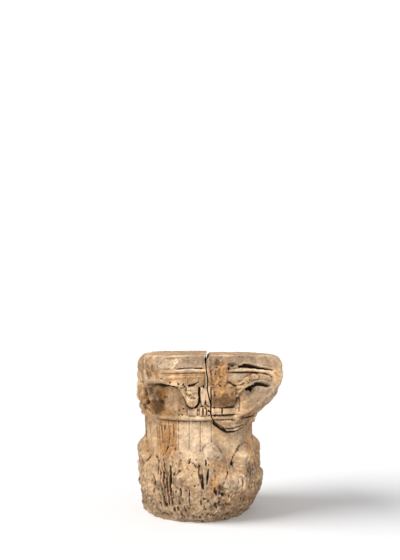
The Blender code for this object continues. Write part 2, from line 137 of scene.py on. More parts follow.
# Abacus, fillet and cove, and the volute channel between its two lips
ABACUS_HALF = 0.158
ABACUS_HOLLOW = 0.020
ABACUS_HALF_SPAN = 0.178
ABACUS_FOOT = 0.390
LINE_HEIGHT = 0.3868
LINE_HALF_WIDTH = 0.0014
LINE_DEPTH = 0.0045
FILLET_SET_BACK = 0.0018
RIDGE_BOTTOM = 0.3775
COVE_DEPTH = 0.0062
CHANNEL_TOP = 0.3680
CHANNEL_DEPTH = 0.0110
CHANNEL_END = 0.160
CORNER_FADE = 0.030
EDGE_SOFTNESS = 0.0011
SIDE_EDGE_SOFTNESS = 0.0036
LIP_WIDTH = 0.0042
LIP_PROUD = 0.0022
LIP_HEIGHT_AT_HORN = 0.350
LIP_SHOULDER = 0.342
LIP_FOOT = 0.289
LIP_START = 0.046
LIP_RISE_LENGTH = 0.046
LIP_HOLLOWNESS = 1.55
LEFT_CHANNEL_END = -0.136
PLUG_LEFT_EDGE = (-0.022, -0.017)
PLUG_RIGHT_EDGE = (0.032, 0.044)

# Eggs, darts, beads and reels
EGG_PITCH = 0.0545
EGG_HALF_WIDTH = 0.0200
EGG_TOP = 0.340
EGG_BOTTOM = 0.289
EGG_REACH = 0.1615
DART_PLACE = 0.0250
DART_HALF_WIDTH = 0.0100
DART_REACH = 0.1592
BEAD_BOTTOM = 0.2690
BEAD_TOP = 0.2895
BEAD_HALF_LENGTH = 0.0150
BEAD_REACH = 0.1592
REEL_HALF_LENGTH = 0.0042
REEL_PITCH = 0.0095
WORN_EGGS_FROM = -0.006
WORN_EGGS_TO = 0.069
WORN_EGGS_TOP = 0.3500
WORN_EGGS_REACH = 0.1622

# What is left of the corners: where each break faces, and how far out it lies by height
FRONT_RIGHT = (45.0, in_metres((
    (2350, 1400), (2620, 1500), (2750, 1720), (2900, 1930), (3200, 2250), (3450, 2440), (3720, 2520), (3980, 2460),
    (4120, 2340), (4200, 2160),
)))
FRONT_LEFT = (-45.0, in_metres((
    (2400, 1400), (2800, 1500), (3350, 1720), (3550, 2080), (4000, 2170), (4200, 2060),
)))
FRONT_LEFT_SCAR = (-65.0, in_metres((
    (2400, 1400), (2700, 1570), (3100, 1780), (3500, 1960), (3980, 2040), (4200, 1880),
)))
BACK_RIGHT = (135.0, in_metres(((2400, 1400), (2750, 1650), (3200, 2050), (3600, 2280), (4200, 2320))))
BACK_LEFT = (-126.0, in_metres(((2350, 1500), (3000, 1590), (4200, 1640))))
# The stumps that still stand, each with its width in degrees and the share of it that is flat
STUMPS = ((*FRONT_RIGHT, 26.0, 0.75), (*FRONT_LEFT_SCAR, 17.0, 0.35), (*BACK_RIGHT, 26.0, 0.75))

# The break between the two stones, seen along the crack: across and up
BREAK_TURN = 13.9
BREAK_OUTLINE = in_metres((
    (345, 4200), (290, 4150), (235, 4065), (220, 3750), (255, 3450), (300, 3250), (320, 3000), (348, 2880),
    (355, 2640), (381, 2600), (454, 2545), (604, 2440), (700, 2380), (780, 2350), (880, 2348), (985, 2370),
    (1196, 2408), (1450, 2480), (1650, 2580),
))
BREAK_STEPS = 6
BREAK_SECTIONS = 150
BREAK_ROUGHNESS = 0.0016
BREAK_GRAIN = 0.0007
SEAT_RISE = 0.050
SEAT_RISE_FROM = -0.14
SEAT_FROM = 0.235
SEAT_TO = 0.260
SEAT_GAP = 0.0004
CRACK_WIDTH = 0.0032
CRACK_MOUTH_WIDTH = 0.0095
CRACK_MOUTH_DEPTH = 0.0240
CALM_MOUTH_SHARE = 0.9
BACK_SLOPE_FROM = -0.060
BACK_SLOPE_TO = 0.170
BACK_SLOPE_DROP = 0.0040
LOBE_RADIUS = 0.1530
LOBE_FOOT = 0.200

# How finely the stones are carved
COLUMNS = 480
RINGS_BELOW = 6
RINGS_UP = 166
RINGS_ABOVE = 22
FRONT_CROWDING = 0.30
RISE_CROWDING = 0.26
SEAM = 1e-5
SOFT_LIMIT = 0.004
SIDE_EASE_ROUNDS = 3

# Weathering
SLOW_WEAR = 0.0016
LATTICE = 32
SEED = 41

# The bright spall at the upper left of the front, across and height
SPALL_CORNERS = in_metres(((-1379, 3911), (-1245, 4113), (-783, 4157), (-902, 3997), (-1111, 3829), (-1288, 3809)))

# Where the sight lines of the photograph's viewpoint meet the plane of the front
EYE_DISTANCE = 1.876
EYE_HEIGHT = 0.485
EYE_BEARING = -13.0
EYE_YAW = 0.12
HORIZON_SHIFT = 0.0857
LENS = 45.0

# Hollows drilled and cut: at the front across its plane, in the leaves by bearing, then height and radius
FRONT_HOLES = in_metres((
    (-1290, 3620, 17), (-1080, 3520, 20), (-900, 3495, 24), (-875, 3475, 22), (-760, 3470, 30), (-730, 3440, 24),
    (-600, 3405, 23), (-690, 3650, 15), (-385, 3520, 24), (-240, 3385, 23), (-810, 3040, 19), (-770, 2975, 21),
    (-750, 2900, 25), (-860, 2855, 20), (-775, 2740, 23), (-390, 2855, 28), (-405, 2715, 24), (-255, 2690, 26),
    (-260, 2935, 29), (-135, 2935, 29), (-95, 2825, 32), (-100, 2705, 20), (-190, 2865, 18), (200, 3430, 28),
    (970, 3300, 40), (475, 2480, 13), (555, 2490, 12), (630, 2475, 12), (950, 3565, 16), (885, 3525, 13),
    (180, 2700, 17),
))
LEAF_HOLES = (
    (-32.1, 1240, 21), (-37.1, 610, 20), (-31.4, 540, 26), (-18.5, 485, 27), (-74.5, 890, 22), (-29.7, 1580, 18),
    (-13.5, 1400, 20), (9.2, 735, 26), (-22, 920, 16),
)
HOLE_REACH = 0.013
DRILL_WEAR = 1.3
HOLE_SIDES = 10
BIT_TAPER = 0.55

# Long slots in the leaves at the front: bearing and height of both ends, half-width, depth
FRONT_SLOTS = (
    (-53.3, 1500, -50.2, 1120, 22, 75), (-50, 1320, -49.2, 1000, 16, 80), (-45.2, 1600, -43.6, 1080, 18, 90),
    (-47.4, 1520, -46.6, 940, 14, 50), (-38.3, 1440, -39.8, 800, 30, 90), (-41.6, 1280, -42, 850, 15, 50),
    (-6.9, 1600, -6.5, 1450, 19, 90), (-4.2, 1370, -5.5, 1040, 26, 120), (-12, 1460, -9.3, 920, 52, 80),
    (-9.4, 1180, -8.6, 880, 18, 50), (-20.9, 860, -20.8, 460, 14, 50), (-29.4, 880, -28.6, 660, 30, 40),
    (-71.5, 980, -69.5, 660, 46, 70), (-58.2, 960, -60.2, 700, 44, 70), (-66.5, 780, -65.5, 500, 26, 40),
    (-39, 560, -36.2, 300, 46, 50), (-33.5, 400, -30, 200, 36, 40), (-26, 440, -25, 180, 30, 35),
    (-48, 700, -47, 300, 40, 40), (-11, 700, -10.4, 360, 26, 30), (1.6, 520, 3.6, 400, 38, 45),
    (1, 920, 2.6, 740, 40, 50), (7, 780, 9.6, 700, 32, 45), (12, 520, 16.5, 330, 26, 25), (28, 640, 33, 400, 30, 25),
    (52, 1100, 54, 600, 40, 50), (38, 1500, 41, 1040, 30, 35), (46.5, 1400, 47.5, 1000, 28, 35),
    (22, 1500, 22.6, 1380, 56, 60), (-21.5, 1600, -22.6, 1500, 40, 35), (-54, 2430, -52, 1950, 24, 30),
    (-49.5, 2500, -50.5, 2220, 20, 36), (-47, 2280, -46.5, 1800, 18, 30), (-43.5, 2400, -44.5, 1920, 22, 32),
    (-39.5, 2460, -39, 2050, 16, 26), (-36.5, 2220, -36, 1900, 14, 22), (-62, 2360, -60, 1880, 24, 24),
    (33.5, 1870, 24.6, 1580, 44, 22), (24.6, 1600, 22.7, 1360, 44, 32), (-44.5, 1870, -50.5, 1580, 30, 34),
    (-37.5, 1860, -32.5, 1500, 28, 32), (-58.5, 1180, -55.5, 900, 34, 50), (-76.5, 1220, -72, 1000, 30, 36),
    (-24, 1400, -18, 1220, 34, 26),
)
# The undercut below the rejoined corner's tongue: bearing and height
TONGUE = (
    (0.6, 0.2545), (3.5, 0.2462), (9.5, 0.2350), (17.0, 0.2262), (26.5, 0.2275), (34.0, 0.2318), (40.0, 0.2350),
)

# Ridges and grooves: how far each stands out, its half-width, and its path across and up
FRONT_MARKS = (
    (-36, 17, ((-970, 3855), (-800, 3870), (-220, 3865))),
    (18, 30, ((-1000, 3815), (-700, 3828), (-180, 3815))),
    # the left egg: gouges, and the channel that curls under it
    (-40, 17, ((-700, 3245), (-630, 3165), (-530, 3100))),
    (-40, 17, ((-652, 3245), (-582, 3165), (-482, 3100))),
    (-40, 17, ((-604, 3245), (-534, 3165), (-434, 3100))),
    (-18, 19, ((-760, 3330), (-560, 3305), (-370, 3330))),
    (-140, 26, ((-345, 3400), (-350, 3180), (-354, 3060), (-378, 2980), (-430, 2915), (-500, 2885))),
    (-40, 26, ((-660, 3430), (-520, 3445), (-400, 3515))),
    (22, 45, ((-600, 3500), (-480, 3520), (-360, 3590))),
    # the foliage of the left channel
    (18, 55, ((-1280, 3590), (-1050, 3650), (-800, 3685), (-400, 3675))),
    # the ridges on the right, the leaf that crosses its channel, and the hollow under the leaf's foot
    (40, 32, ((430, 3800), (935, 3805), (1350, 3780), (1500, 3715), (1630, 3600))),
    (-42, 19, ((460, 3745), (935, 3755), (1330, 3725), (1460, 3670), (1580, 3560))),
    (75, 80, ((640, 3400), (800, 3440), (960, 3570), (1160, 3690))),
    (30, 90, ((1000, 3600), (1220, 3610), (1480, 3600))),
    (-50, 22, ((460, 3500), (540, 3440), (640, 3410), (780, 3445), (860, 3500))),
    # the lower lip on the right, and the cuts below it
    (62, 34, ((600, 3085), (680, 3205), (760, 3310), (855, 3400), (970, 3468), (1130, 3512), (1300, 3512),
              (1470, 3450))),
    (-50, 18, ((735, 3150), (755, 2950), (755, 2740))),
    (-60, 16, ((255, 2880), (255, 2790))),
    (-35, 14, ((-20, 2690), (300, 2680), (820, 2700))),
)
LEAF_MARKS = (
    (30, 30, ((-480, 1480), (-380, 1555), (-300, 1560), (-240, 1500))),
    (30, 42, ((260, 940), (340, 955), (420, 900))),
    (26, 30, ((500, 815), (620, 800), (760, 830))),
)
LOBE_MARKS = (
    (-32, 15, ((40, 2535), (400, 2540), (1000, 2560))),
    (22, 30, ((120, 2460), (260, 2420), (440, 2385), (700, 2405), (960, 2450))),
    (-34, 16, ((200, 2395), (340, 2350), (500, 2345), (720, 2370), (1000, 2420))),
)
# The front's left corner, as the photograph's viewpoint sees it on the plane of the front
SEEN_MARKS = (
    (75, 60, ((-1745, 3870), (-1700, 3720), (-1660, 3500), (-1600, 3260), (-1570, 3060))),
    (-110, 62, ((-1790, 3440), (-1760, 3300), (-1740, 3120), (-1720, 3000))),
    (50, 70, ((-1860, 3880), (-1850, 3720))),
    (60, 65, ((-1860, 3300), (-1840, 3180))),
    (-60, 40, ((-1790, 2960), (-1650, 2860), (-1560, 2760))),
)
# Other paths on the front and the sides
COVE_END = in_metres(((-45, 4050), (-45, 3750), (-10, 3450), (40, 3250), (60, 3000), (90, 2650)))
GAP = in_metres(((700, 3890), (820, 3915), (1000, 3885), (1160, 3855), (1340, 3835), (1520, 3790)))
UNDER_LIP = in_metres(((930, 3330), (1060, 3425), (1200, 3455), (1450, 3400)))
SHELL = in_metres(((900, 3395), (845, 3300), (775, 3180), (690, 3055), (590, 2945), (480, 2880)))
INNER_SHELL = in_metres(((800, 3340), (735, 3190), (650, 3060), (545, 2960)))
# The pit on the right: middle, half-size and depth
PIT = in_metres(((505, 3935, 120, 75, 80), (440, 3850, 70, 60, 70), (600, 3880, 130, 80, 55)))


def smooth_step(value, low, high):
    share = np.clip((value - low) / (high - low), 0.0, 1.0)
    return share * share * (3.0 - 2.0 * share)


def bump(offset, half_width):
    """1 at the middle, falling as a round back to 0 at half_width."""
    return np.sqrt(np.clip(1.0 - (offset / half_width) ** 2, 0.0, 1.0))


def soft_spot(across, height, middle, half_size):
    """1 at the middle of an ellipse, easing to 0 at its rim."""
    away = ((across - middle[0]) / half_size[0]) ** 2 + ((height - middle[1]) / half_size[1]) ** 2
    return np.clip(1.0 - away, 0.0, 1.0) ** 2


def raised(reach, share):
    """A form that stands out of the drum as far as reach, by a share of 0 to 1, and nothing where it is 0."""
    return np.where(share > 0.0, DRUM_RADIUS + (reach - DRUM_RADIUS) * share, 0.0)


def turned_away(bearing, other):
    """Degrees from another bearing, between -180 and 180."""
    return (bearing - other + 180.0) % 360.0 - 180.0


def bearing_of(places):
    return np.degrees(np.arctan2(places[:, 0], -places[:, 1]))


def round_places(radius, bearing, height):
    """Places by their distance from the axis, bearing and height."""
    turn = np.radians(bearing)
    return np.stack((radius * np.sin(turn), -radius * np.cos(turn), height), axis=-1)


def by_height(height, table):
    """A value read off a table of heights and values."""
    heights, amounts = zip(*table)
    return np.interp(height, heights, amounts)


def on_path(across, height, path):
    """Distance from a bent line, and how far along it the nearest place is, from 0 to 1."""
    lengths = [math.dist(start, end) for start, end in zip(path[:-1], path[1:])]
    nearest = np.full(np.shape(across), HEIGHT)
    along = np.zeros(np.shape(across))
    passed = 0.0
    for (start, end, length) in zip(path[:-1], path[1:], lengths):
        run = ((end[0] - start[0]) / length, (end[1] - start[1]) / length)
        reach = np.clip((across - start[0]) * run[0] + (height - start[1]) * run[1], 0.0, length)
        away = np.hypot(across - start[0] - reach * run[0], height - start[1] - reach * run[1])
        along = np.where(away < nearest, (passed + reach) / sum(lengths), along)
        nearest = np.minimum(nearest, away)
        passed += length
    return nearest, along


def along_path(across, height, path, half_width):
    """A round-backed line along a path, dying out over its last tenth at both ends."""
    away, along = on_path(across, height, path)
    return bump(away, half_width) * smooth_step(along, 0.0, 0.1) * (1.0 - smooth_step(along, 0.9, 1.0))


def marked(across, height, marks):
    """The ridges and grooves of a table. Out is positive."""
    return sum(
        proud / TENTHS * along_path(across, height, in_metres(path), half_width / TENTHS)
        for proud, half_width, path in marks)


def noise(points, size, seed):
    """Smooth unevenness between -1 and 1, from a repeating lattice of fixed values `size` metres apart."""
    lattice = np.random.default_rng(SEED + seed).uniform(-1.0, 1.0, (LATTICE,) * 3)
    place = points / size + 100.0 + 0.37 * seed
    cell = np.floor(place).astype(int)
    part = place - cell
    part = part * part * (3.0 - 2.0 * part)
    value = np.zeros(len(points))
    for corner in np.ndindex(2, 2, 2):
        weight = np.prod(np.where(corner, part, 1.0 - part), axis=1)
        index = (cell + corner) % LATTICE
        value += weight * lattice[index[:, 0], index[:, 1], index[:, 2]]
    return value


def layered_noise(points, size, seed, layers):
    """Several layers of unevenness, each half as big and half as strong as the one before."""
    return sum(noise(points, size / 2 ** layer, seed + layer) / 2 ** layer for layer in range(layers))


def turned_radius(height):
    """The plain turned body: foot, leaf ground, neck, fillet and drum."""
    stations = (
        (0.0, BED_RADIUS),
        (FOOT_SWELL_HEIGHT, FOOT_SWELL_RADIUS),
        (FOOT_HEIGHT, FOOT_RADIUS),
        (LEAF_BELLY_HEIGHT, LEAF_GROUND_RADIUS),
        (NECK_FOOT, NECK_RADIUS),
        (FILLET_BOTTOM - 0.0012, NECK_RADIUS),
        (FILLET_BOTTOM + 0.0012, FILLET_RADIUS),
        (0.5 * (FILLET_BOTTOM + FILLET_TOP), FILLET_RADIUS + 0.0012),
        (FILLET_TOP, FILLET_RADIUS),
        (FILLET_TOP + 0.0022, DRUM_RADIUS),
        (HEIGHT, DRUM_RADIUS),
    )
    return by_height(height, stations)


def drift(bearing, height):
    """How far the body is out of true at a place."""
    return by_height(height, DRIFT) * np.cos(np.radians(turned_away(bearing, DRIFT_BEARING)))


def flute_share(bearing, height, points):
    """How much of the flutes is left."""
    share = smooth_step(height, LOWER_LEAF_TIP - 0.030, LOWER_LEAF_TIP - 0.015)
    share = share * (1.0 - smooth_step(height, FILLET_BOTTOM - 0.004, FILLET_BOTTOM - 0.001))
    worn = np.abs(turned_away(bearing, WORN_FLUTES_BEARING))
    share = share * smooth_step(worn, 0.8 * WORN_FLUTES_HALF_ANGLE, WORN_FLUTES_HALF_ANGLE)
    return share * np.clip(0.95 + 0.5 * noise(points, 0.030, 11), 0.3, 1.1)


def leaf_radius(bearing, height, place, points):
    """One worn leaf: a swelling that dies softly into the bell, and what is left of its ribs."""
    middle, tip, half_width, reach, ribs, seed = place
    across = np.radians(turned_away(bearing, middle)) * LEAF_GROUND_RADIUS
    near = np.abs(across) < 1.2 * half_width
    ragged = noise(points, 0.014, seed)
    arch = np.clip((tip - height) / (0.34 * tip), 0.0, 1.0) ** 0.55
    edge = half_width * arch * (1.16 + 0.16 * ragged) + 1e-6
    lean = np.interp(
        height,
        (0.0, FOOT_SWELL_HEIGHT, FOOT_HEIGHT, LEAF_BELLY_HEIGHT, tip - LEAF_WEDGE),
        (LEAF_FOOT_REACH, LEAF_SWELL_REACH, LEAF_HEEL_REACH, reach - 0.003, reach),
    )
    lean = NECK_RADIUS + (lean - NECK_RADIUS) * smooth_step(tip - height, -LEAF_TIP_EASE, LEAF_WEDGE)
    lobe_foot = tip - LEAF_LOBE_HEIGHT + 0.014 * ragged - 0.012 * (across / half_width) ** 2
    lobe = LEAF_LOBE_PROUD * smooth_step(height, lobe_foot - 0.007, lobe_foot + 0.005)
    lobe = lobe * (1.0 - smooth_step(height, tip - 0.020, tip))
    rib_pitch = LEAF_RIB_PITCH * (0.8 + 0.45 * height / tip) * (1.0 + 0.16 * ragged)
    from_rib = (np.abs(across) / rib_pitch) % 1.0 - 0.5
    groove = bump(from_rib * rib_pitch, LEAF_RIB_GROOVE) ** 1.3
    kept = noise(points * (1.0, 1.0, 0.35), 0.016, seed + 3)
    groove = groove * np.clip(ribs * (0.50 + 1.5 * kept), 0.0, 1.1)
    groove = groove * smooth_step(height, 0.10 * tip, 0.30 * tip)
    groove = groove * (1.0 - smooth_step(height, lobe_foot - 0.014, lobe_foot + 0.006))
    back = smooth_step(1.0 - np.abs(across / edge), 0.0, LEAF_SOFT_EDGE)
    ground = turned_radius(height)
    leaf = ground + (lean + lobe - LEAF_RIB_DEPTH * groove - ground) * back
    return np.where(near & (height < tip) & (back > 0.0), leaf, 0.0)


def leaf_places():
    """Middle bearing, tip height, half-width, reach, kept ribs and seed of every leaf."""
    places = []
    pitch = 360.0 / LEAF_COUNT
    for index in range(LEAF_COUNT):
        aside = -UPPER_LEAF_DRIFT * math.sin(math.radians(2.0 * pitch * index))
        upper = turned_away(pitch * index, 0.0) + aside
        lower = pitch * (index + 0.5)
        lower_tip = LOWER_LEAF_TIP - LOWER_TIP_VARIATION * math.sin(math.radians(lower))
        places.append((
            upper, UPPER_LEAF_TIPS[index], UPPER_LEAF_HALF_WIDTH, UPPER_LEAF_REACH, UPPER_LEAF_RIBS[index], index))
        places.append((
            lower, lower_tip, LOWER_LEAF_HALF_WIDTH, LOWER_LEAF_REACH, LOWER_LEAF_RIBS[index], index + LEAF_COUNT))
    return places


def side_place(bearing):
    """Distance out to the abacus's hollow side, and the place across it."""
    face = turned_away(bearing % 90.0, 0.0)
    face = np.radians(np.where(face > 45.0, face - 90.0, face))
    hollow = ABACUS_HOLLOW / ABACUS_HALF_SPAN ** 2
    root = np.sqrt(np.clip(np.cos(face) ** 2 - 4.0 * hollow * ABACUS_HALF * np.sin(face) ** 2, 0.0, None))
    distance = 2.0 * ABACUS_HALF / (np.cos(face) + root)
    return distance, distance * np.sin(face)


def lip_height(across, front):
    """The lower lip of the volute channel: a crescent from beside the eggs up and out to the horn."""
    share = np.clip((np.abs(across) - LIP_START) / LIP_RISE_LENGTH, 0.0, 1.0)
    round_egg = share ** LIP_HOLLOWNESS
    over_worn = np.sin(0.5 * np.pi * share) ** 1.15
    rise = np.where(front & (across > 0.0), over_worn, round_egg)
    level = np.clip((np.abs(across) - LIP_START - LIP_RISE_LENGTH) / 0.05, 0.0, 1.0)
    return LIP_FOOT + (LIP_SHOULDER - LIP_FOOT) * rise + (LIP_HEIGHT_AT_HORN - LIP_SHOULDER) * level


def channel_cut(across, height, front):
    """How far the fillet, cove and channel lie behind the abacus's face."""
    side = np.abs(across)
    left = front & (across < 0.0)
    lip = lip_height(across, front)
    set_back = FILLET_SET_BACK * (1.0 - smooth_step(height, LINE_HEIGHT - 0.0010, LINE_HEIGHT + 0.0010))
    cove_top = smooth_step(height, RIDGE_BOTTOM - 0.0022, RIDGE_BOTTOM)
    set_back = set_back + (COVE_DEPTH - FILLET_SET_BACK) * (1.0 - cove_top) * (height < RIDGE_BOTTOM)
    span = np.clip((height - lip - LIP_WIDTH) / np.clip(CHANNEL_TOP - lip - LIP_WIDTH, 1e-4, None), 0.0, 1.0)
    channel = (CHANNEL_DEPTH - COVE_DEPTH) * np.sin(np.pi * span) ** 0.6
    foliage = bump(side - 0.078, 0.058) * bump(height - 0.356 - 0.05 * (side - 0.078), 0.0165)
    channel = channel - np.where(left | ~front, 0.0060, 0.0) * foliage ** 0.8
    lip_half = LIP_WIDTH * np.where(front, 0.62, 1.0)
    lip_back = bump(height - lip - 0.5 * LIP_WIDTH, lip_half) * (side > LIP_START + 0.006)
    channel = channel - (COVE_DEPTH - FILLET_SET_BACK + LIP_PROUD) * lip_back * (height < CHANNEL_TOP)
    fade = 1.0 - smooth_step(side, CHANNEL_END - 0.5 * CORNER_FADE, CHANNEL_END)
    filled_end = 1.0 - smooth_step(across, LEFT_CHANNEL_END - 0.004, LEFT_CHANNEL_END + 0.003)
    plug = smooth_step(across, *PLUG_LEFT_EDGE) * (1.0 - smooth_step(across, *PLUG_RIGHT_EDGE))
    fade = fade * np.where(front, 1.0 - np.maximum(filled_end, plug), 1.0)
    return (set_back + np.where(height < CHANNEL_TOP, channel, 0.0)) * fade


def upper_zone_radius(plain, across, height, front):
    """Abacus, cove, volute channel and its lips. Below the lower lip the round drum is left bare."""
    cut = plain - channel_cut(across, height, front)
    underside = np.where(np.abs(across) > LIP_START, lip_height(across, front), EGG_TOP)
    softness = np.where(front, EDGE_SOFTNESS, SIDE_EDGE_SOFTNESS)
    return raised(cut, smooth_step((height - underside) / softness, -1.0, 1.0))


def egg_zone_radius(across, height):
    """Three eggs on each side with a dart between each two, and beads and reels under them."""
    radius = np.zeros_like(across)
    outward = 1.0 / np.cos(np.arctan2(across, ABACUS_HALF))
    egg_middle = 0.5 * (EGG_TOP + EGG_BOTTOM)
    egg_rise = 0.5 * (EGG_TOP - EGG_BOTTOM)
    bead_middle = 0.5 * (BEAD_TOP + BEAD_BOTTOM)
    bead_rise = 0.5 * (BEAD_TOP - BEAD_BOTTOM)
    for index in (-1, 0, 1):
        side = across - index * EGG_PITCH
        rise = np.where(height > egg_middle, 0.55, 1.0) * (height - egg_middle) / egg_rise
        egg = np.clip(1.0 - np.abs(side / EGG_HALF_WIDTH) ** 2.2 - np.abs(rise) ** 2.4, 0.0, 1.0) ** 0.45
        egg = egg * (height < EGG_TOP + 0.002)
        radius = np.maximum(radius, raised(EGG_REACH * outward, egg))
        bead = bump(side, BEAD_HALF_LENGTH) ** 0.8 * bump(height - bead_middle, bead_rise)
        radius = np.maximum(radius, raised(BEAD_REACH, bead))
    for index in (-1, 1):
        side = across - index * DART_PLACE
        dart_width = DART_HALF_WIDTH * (0.35 + 0.65 * smooth_step(height, EGG_BOTTOM, egg_middle + 0.010))
        dart = np.clip(1.0 - (side / dart_width) ** 4, 0.0, 1.0) ** 0.6
        dart = dart * smooth_step(height, EGG_BOTTOM + 0.004, EGG_BOTTOM + 0.010) * (height < EGG_TOP)
        foot = bump(side, 0.5 * DART_HALF_WIDTH) * smooth_step(height, EGG_BOTTOM - 0.004, EGG_BOTTOM)
        dart = np.maximum(dart, 0.7 * foot * (height < EGG_TOP))
        radius = np.maximum(radius, raised(DART_REACH, dart))
        for pair in (-0.5, 0.5):
            reel = bump(side - pair * REEL_PITCH, REEL_HALF_LENGTH) * bump(height - bead_middle, bead_rise)
            radius = np.maximum(radius, raised(BEAD_REACH, reel))
    return radius


def worn_eggs_radius(across, height):
    """On the front, right of the crack, the eggs are rubbed down to one swelling over two flat tiles."""
    middle = 0.5 * (WORN_EGGS_FROM + WORN_EGGS_TO)
    half = 0.5 * (WORN_EGGS_TO - WORN_EGGS_FROM)
    side = (across - middle) / half
    bottom = EGG_BOTTOM - 0.0015 + 0.004 * np.clip(side, 0.0, 1.0) ** 2
    top = WORN_EGGS_TOP - 0.008 * smooth_step(side, 0.2, 1.0)
    rise = (height - 0.5 * (top + bottom)) / (0.5 * (top - bottom))
    swelling = np.clip(1.0 - np.abs(side) ** 2.6, 0.0, 1.0) ** 0.5
    swelling = swelling * np.clip(1.0 - np.abs(rise) ** 2.3, 0.0, 1.0) ** 0.5
    return raised(WORN_EGGS_REACH / np.cos(np.arctan2(across, ABACUS_HALF)), swelling)


def worn_tiles_radius(across, height):
    radius = np.zeros_like(across)
    for start, end, reach in ((-0.004, 0.0245, 0.1568), (0.0262, 0.0725, 0.1582)):
        side = (across - 0.5 * (start + end)) / (0.5 * (end - start))
        rise = (height - 0.2782) / 0.0088
        tile = np.clip(1.0 - side ** 10, 0.0, 1.0) ** 0.5 * np.clip(1.0 - rise ** 6, 0.0, 1.0) ** 0.5
        radius = np.maximum(radius, raised(reach, tile))
    return radius


def stump_radius(bearing, height, plain, across, stump):
    """Stone left where a volute has broken away: a rough face square to its bearing."""
    middle, reach, width, flat_share = stump
    away = turned_away(bearing, middle)
    recess = 1.0 - smooth_step(np.abs(across), CHANNEL_END - 2.0 * CORNER_FADE, CHANNEL_END - CORNER_FADE)
    plain = plain - CHANNEL_DEPTH * recess
    face = np.minimum(by_height(height, reach) / np.cos(np.radians(np.clip(away, -80.0, 80.0))), plain)
    window = 1.0 - smooth_step(np.abs(away), flat_share * width, width)
    ground = turned_radius(height)
    standing = (window > 0.0) & (height > reach[0][0])
    return np.where(standing, ground + np.maximum(face - ground, 0.0) * window, 0.0)


def cut_back(radius, bearing, height, middle, reach):
    """Nothing stands further out than the break at this bearing, and the break is rough."""
    away = turned_away(bearing, middle)
    points = round_places(radius, bearing, height)
    limit = by_height(height, reach) / np.cos(np.radians(np.clip(away, -75.0, 75.0)))
    limit = limit - 0.0035 * np.clip(layered_noise(points, 0.024, 21, 3) + 0.25, 0.0, None)
    near = (np.abs(away) < 75.0) & (height > FILLET_TOP)
    return np.where(near, np.minimum(radius, np.maximum(limit, turned_radius(height))), radius)


def slow_wear(bearing, height):
    """The uneven wear that the solids have too."""
    turn = np.radians(bearing)
    waves = (
        np.sin(3.0 * turn + 21.0 * height + 0.7) + 0.8 * np.sin(5.0 * turn - 34.0 * height + 2.1)
        + 0.6 * np.sin(9.0 * turn + 55.0 * height + 4.0) + 0.5 * np.sin(14.0 * turn - 83.0 * height + 1.3)
    )
    return SLOW_WEAR * waves / 2.0


def side_carving(across, height, front):
    """Lines and edges cut on every side of the abacus zone. Out is positive."""
    side = np.abs(across)
    line_path = ((0.022, LINE_HEIGHT), (0.150, LINE_HEIGHT - 0.001))
    carving = -LINE_DEPTH * along_path(side, height, line_path, LINE_HALF_WIDTH) * ~front
    carving += 0.0034 * along_path(side, height, SHELL, np.where(front, 0.0017, 0.0034)) * (~front | (across < 0.0))
    return carving - 0.0030 * along_path(side, height, INNER_SHELL, 0.0026) * ~front


def inside_patch(across, height, corners, softness):
    """1 inside a patch with straight sides, its corners given clockwise, easing to 0 at its rim."""
    depth = np.full(np.shape(across), HEIGHT)
    for start, end in zip(corners, corners[1:] + corners[:1]):
        length = math.dist(start, end)
        away = ((height - start[1]) * (end[0] - start[0]) - (across - start[0]) * (end[1] - start[1])) / length
        depth = np.minimum(depth, -away)
    return smooth_step(depth, 0.0, softness)


def front_carving(across, height, ragged):
    """What is carved and broken on the front alone. Out is positive."""
    cut = marked(across, height, FRONT_MARKS)
    # the spall at the upper left and the broken end of the cove
    cut -= 0.0034 * inside_patch(across + 0.0030 * ragged, height - 0.0022 * ragged, SPALL_CORNERS, 0.0030)
    away, _ = on_path(across, height, COVE_END)
    cut -= 0.0040 * np.clip(1.0 - away / 0.0060, 0.0, 1.0) ** 1.3
    # the pit and the deep gap on the right, and the swelling under them
    for middle, level, half_width, half_height, depth in PIT:
        cut -= depth * np.sqrt(soft_spot(across, height, (middle, level), (half_width, half_height)))
    away, along = on_path(across, height, GAP)
    gap_width = np.interp(along, (0.0, 0.18, 0.35, 0.6, 1.0), (0.0022, 0.0056, 0.0050, 0.0026, 0.0014))
    cut -= 0.0190 * bump(away, gap_width) ** 0.5 * (1.0 - smooth_step(along, 0.5, 1.0) * 0.6)
    cut += 0.0060 * soft_spot(across, height, (0.046, 0.3430), (0.016, 0.0070))
    # the deep hollow under the lower lip
    away, along = on_path(across, height, UNDER_LIP)
    width = np.interp(along, (0.0, 0.3, 0.7, 1.0), (0.0046, 0.0062, 0.0048, 0.0018))
    return cut - 0.0170 * bump(away, width) ** 0.6


def leaf_carving(bearing, height, ragged):
    """Slots, hollows and chipped patches of the leaves at the front. Out is positive."""
    arc = np.radians(turned_away(bearing, 0.0)) * UPPER_LEAF_REACH + 0.0009 * ragged

    def on_arc(bearing, level):
        return math.radians(bearing) * UPPER_LEAF_REACH, level

    cut = marked(arc, height, LEAF_MARKS)
    for start, top, end, bottom, half_width, depth in FRONT_SLOTS:
        away, along = on_path(arc, height, (on_arc(start, top / TENTHS), on_arc(end, bottom / TENTHS)))
        width = half_width / TENTHS * (0.45 + 0.75 * np.sin(np.pi * np.clip(along + 0.08, 0.0, 1.0)))
        cut -= depth / TENTHS * bump(away, width) ** 0.8
    cut -= 0.0065 * along_path(arc, height, [on_arc(*place) for place in TONGUE], 0.0034)
    # a chipped face on the right
    chipped = soft_spot(arc, height, (0.0640, 0.1000), (0.036, 0.028)) + 0.30 * ragged
    return cut - 0.0036 * smooth_step(chipped, 0.25, 0.45)


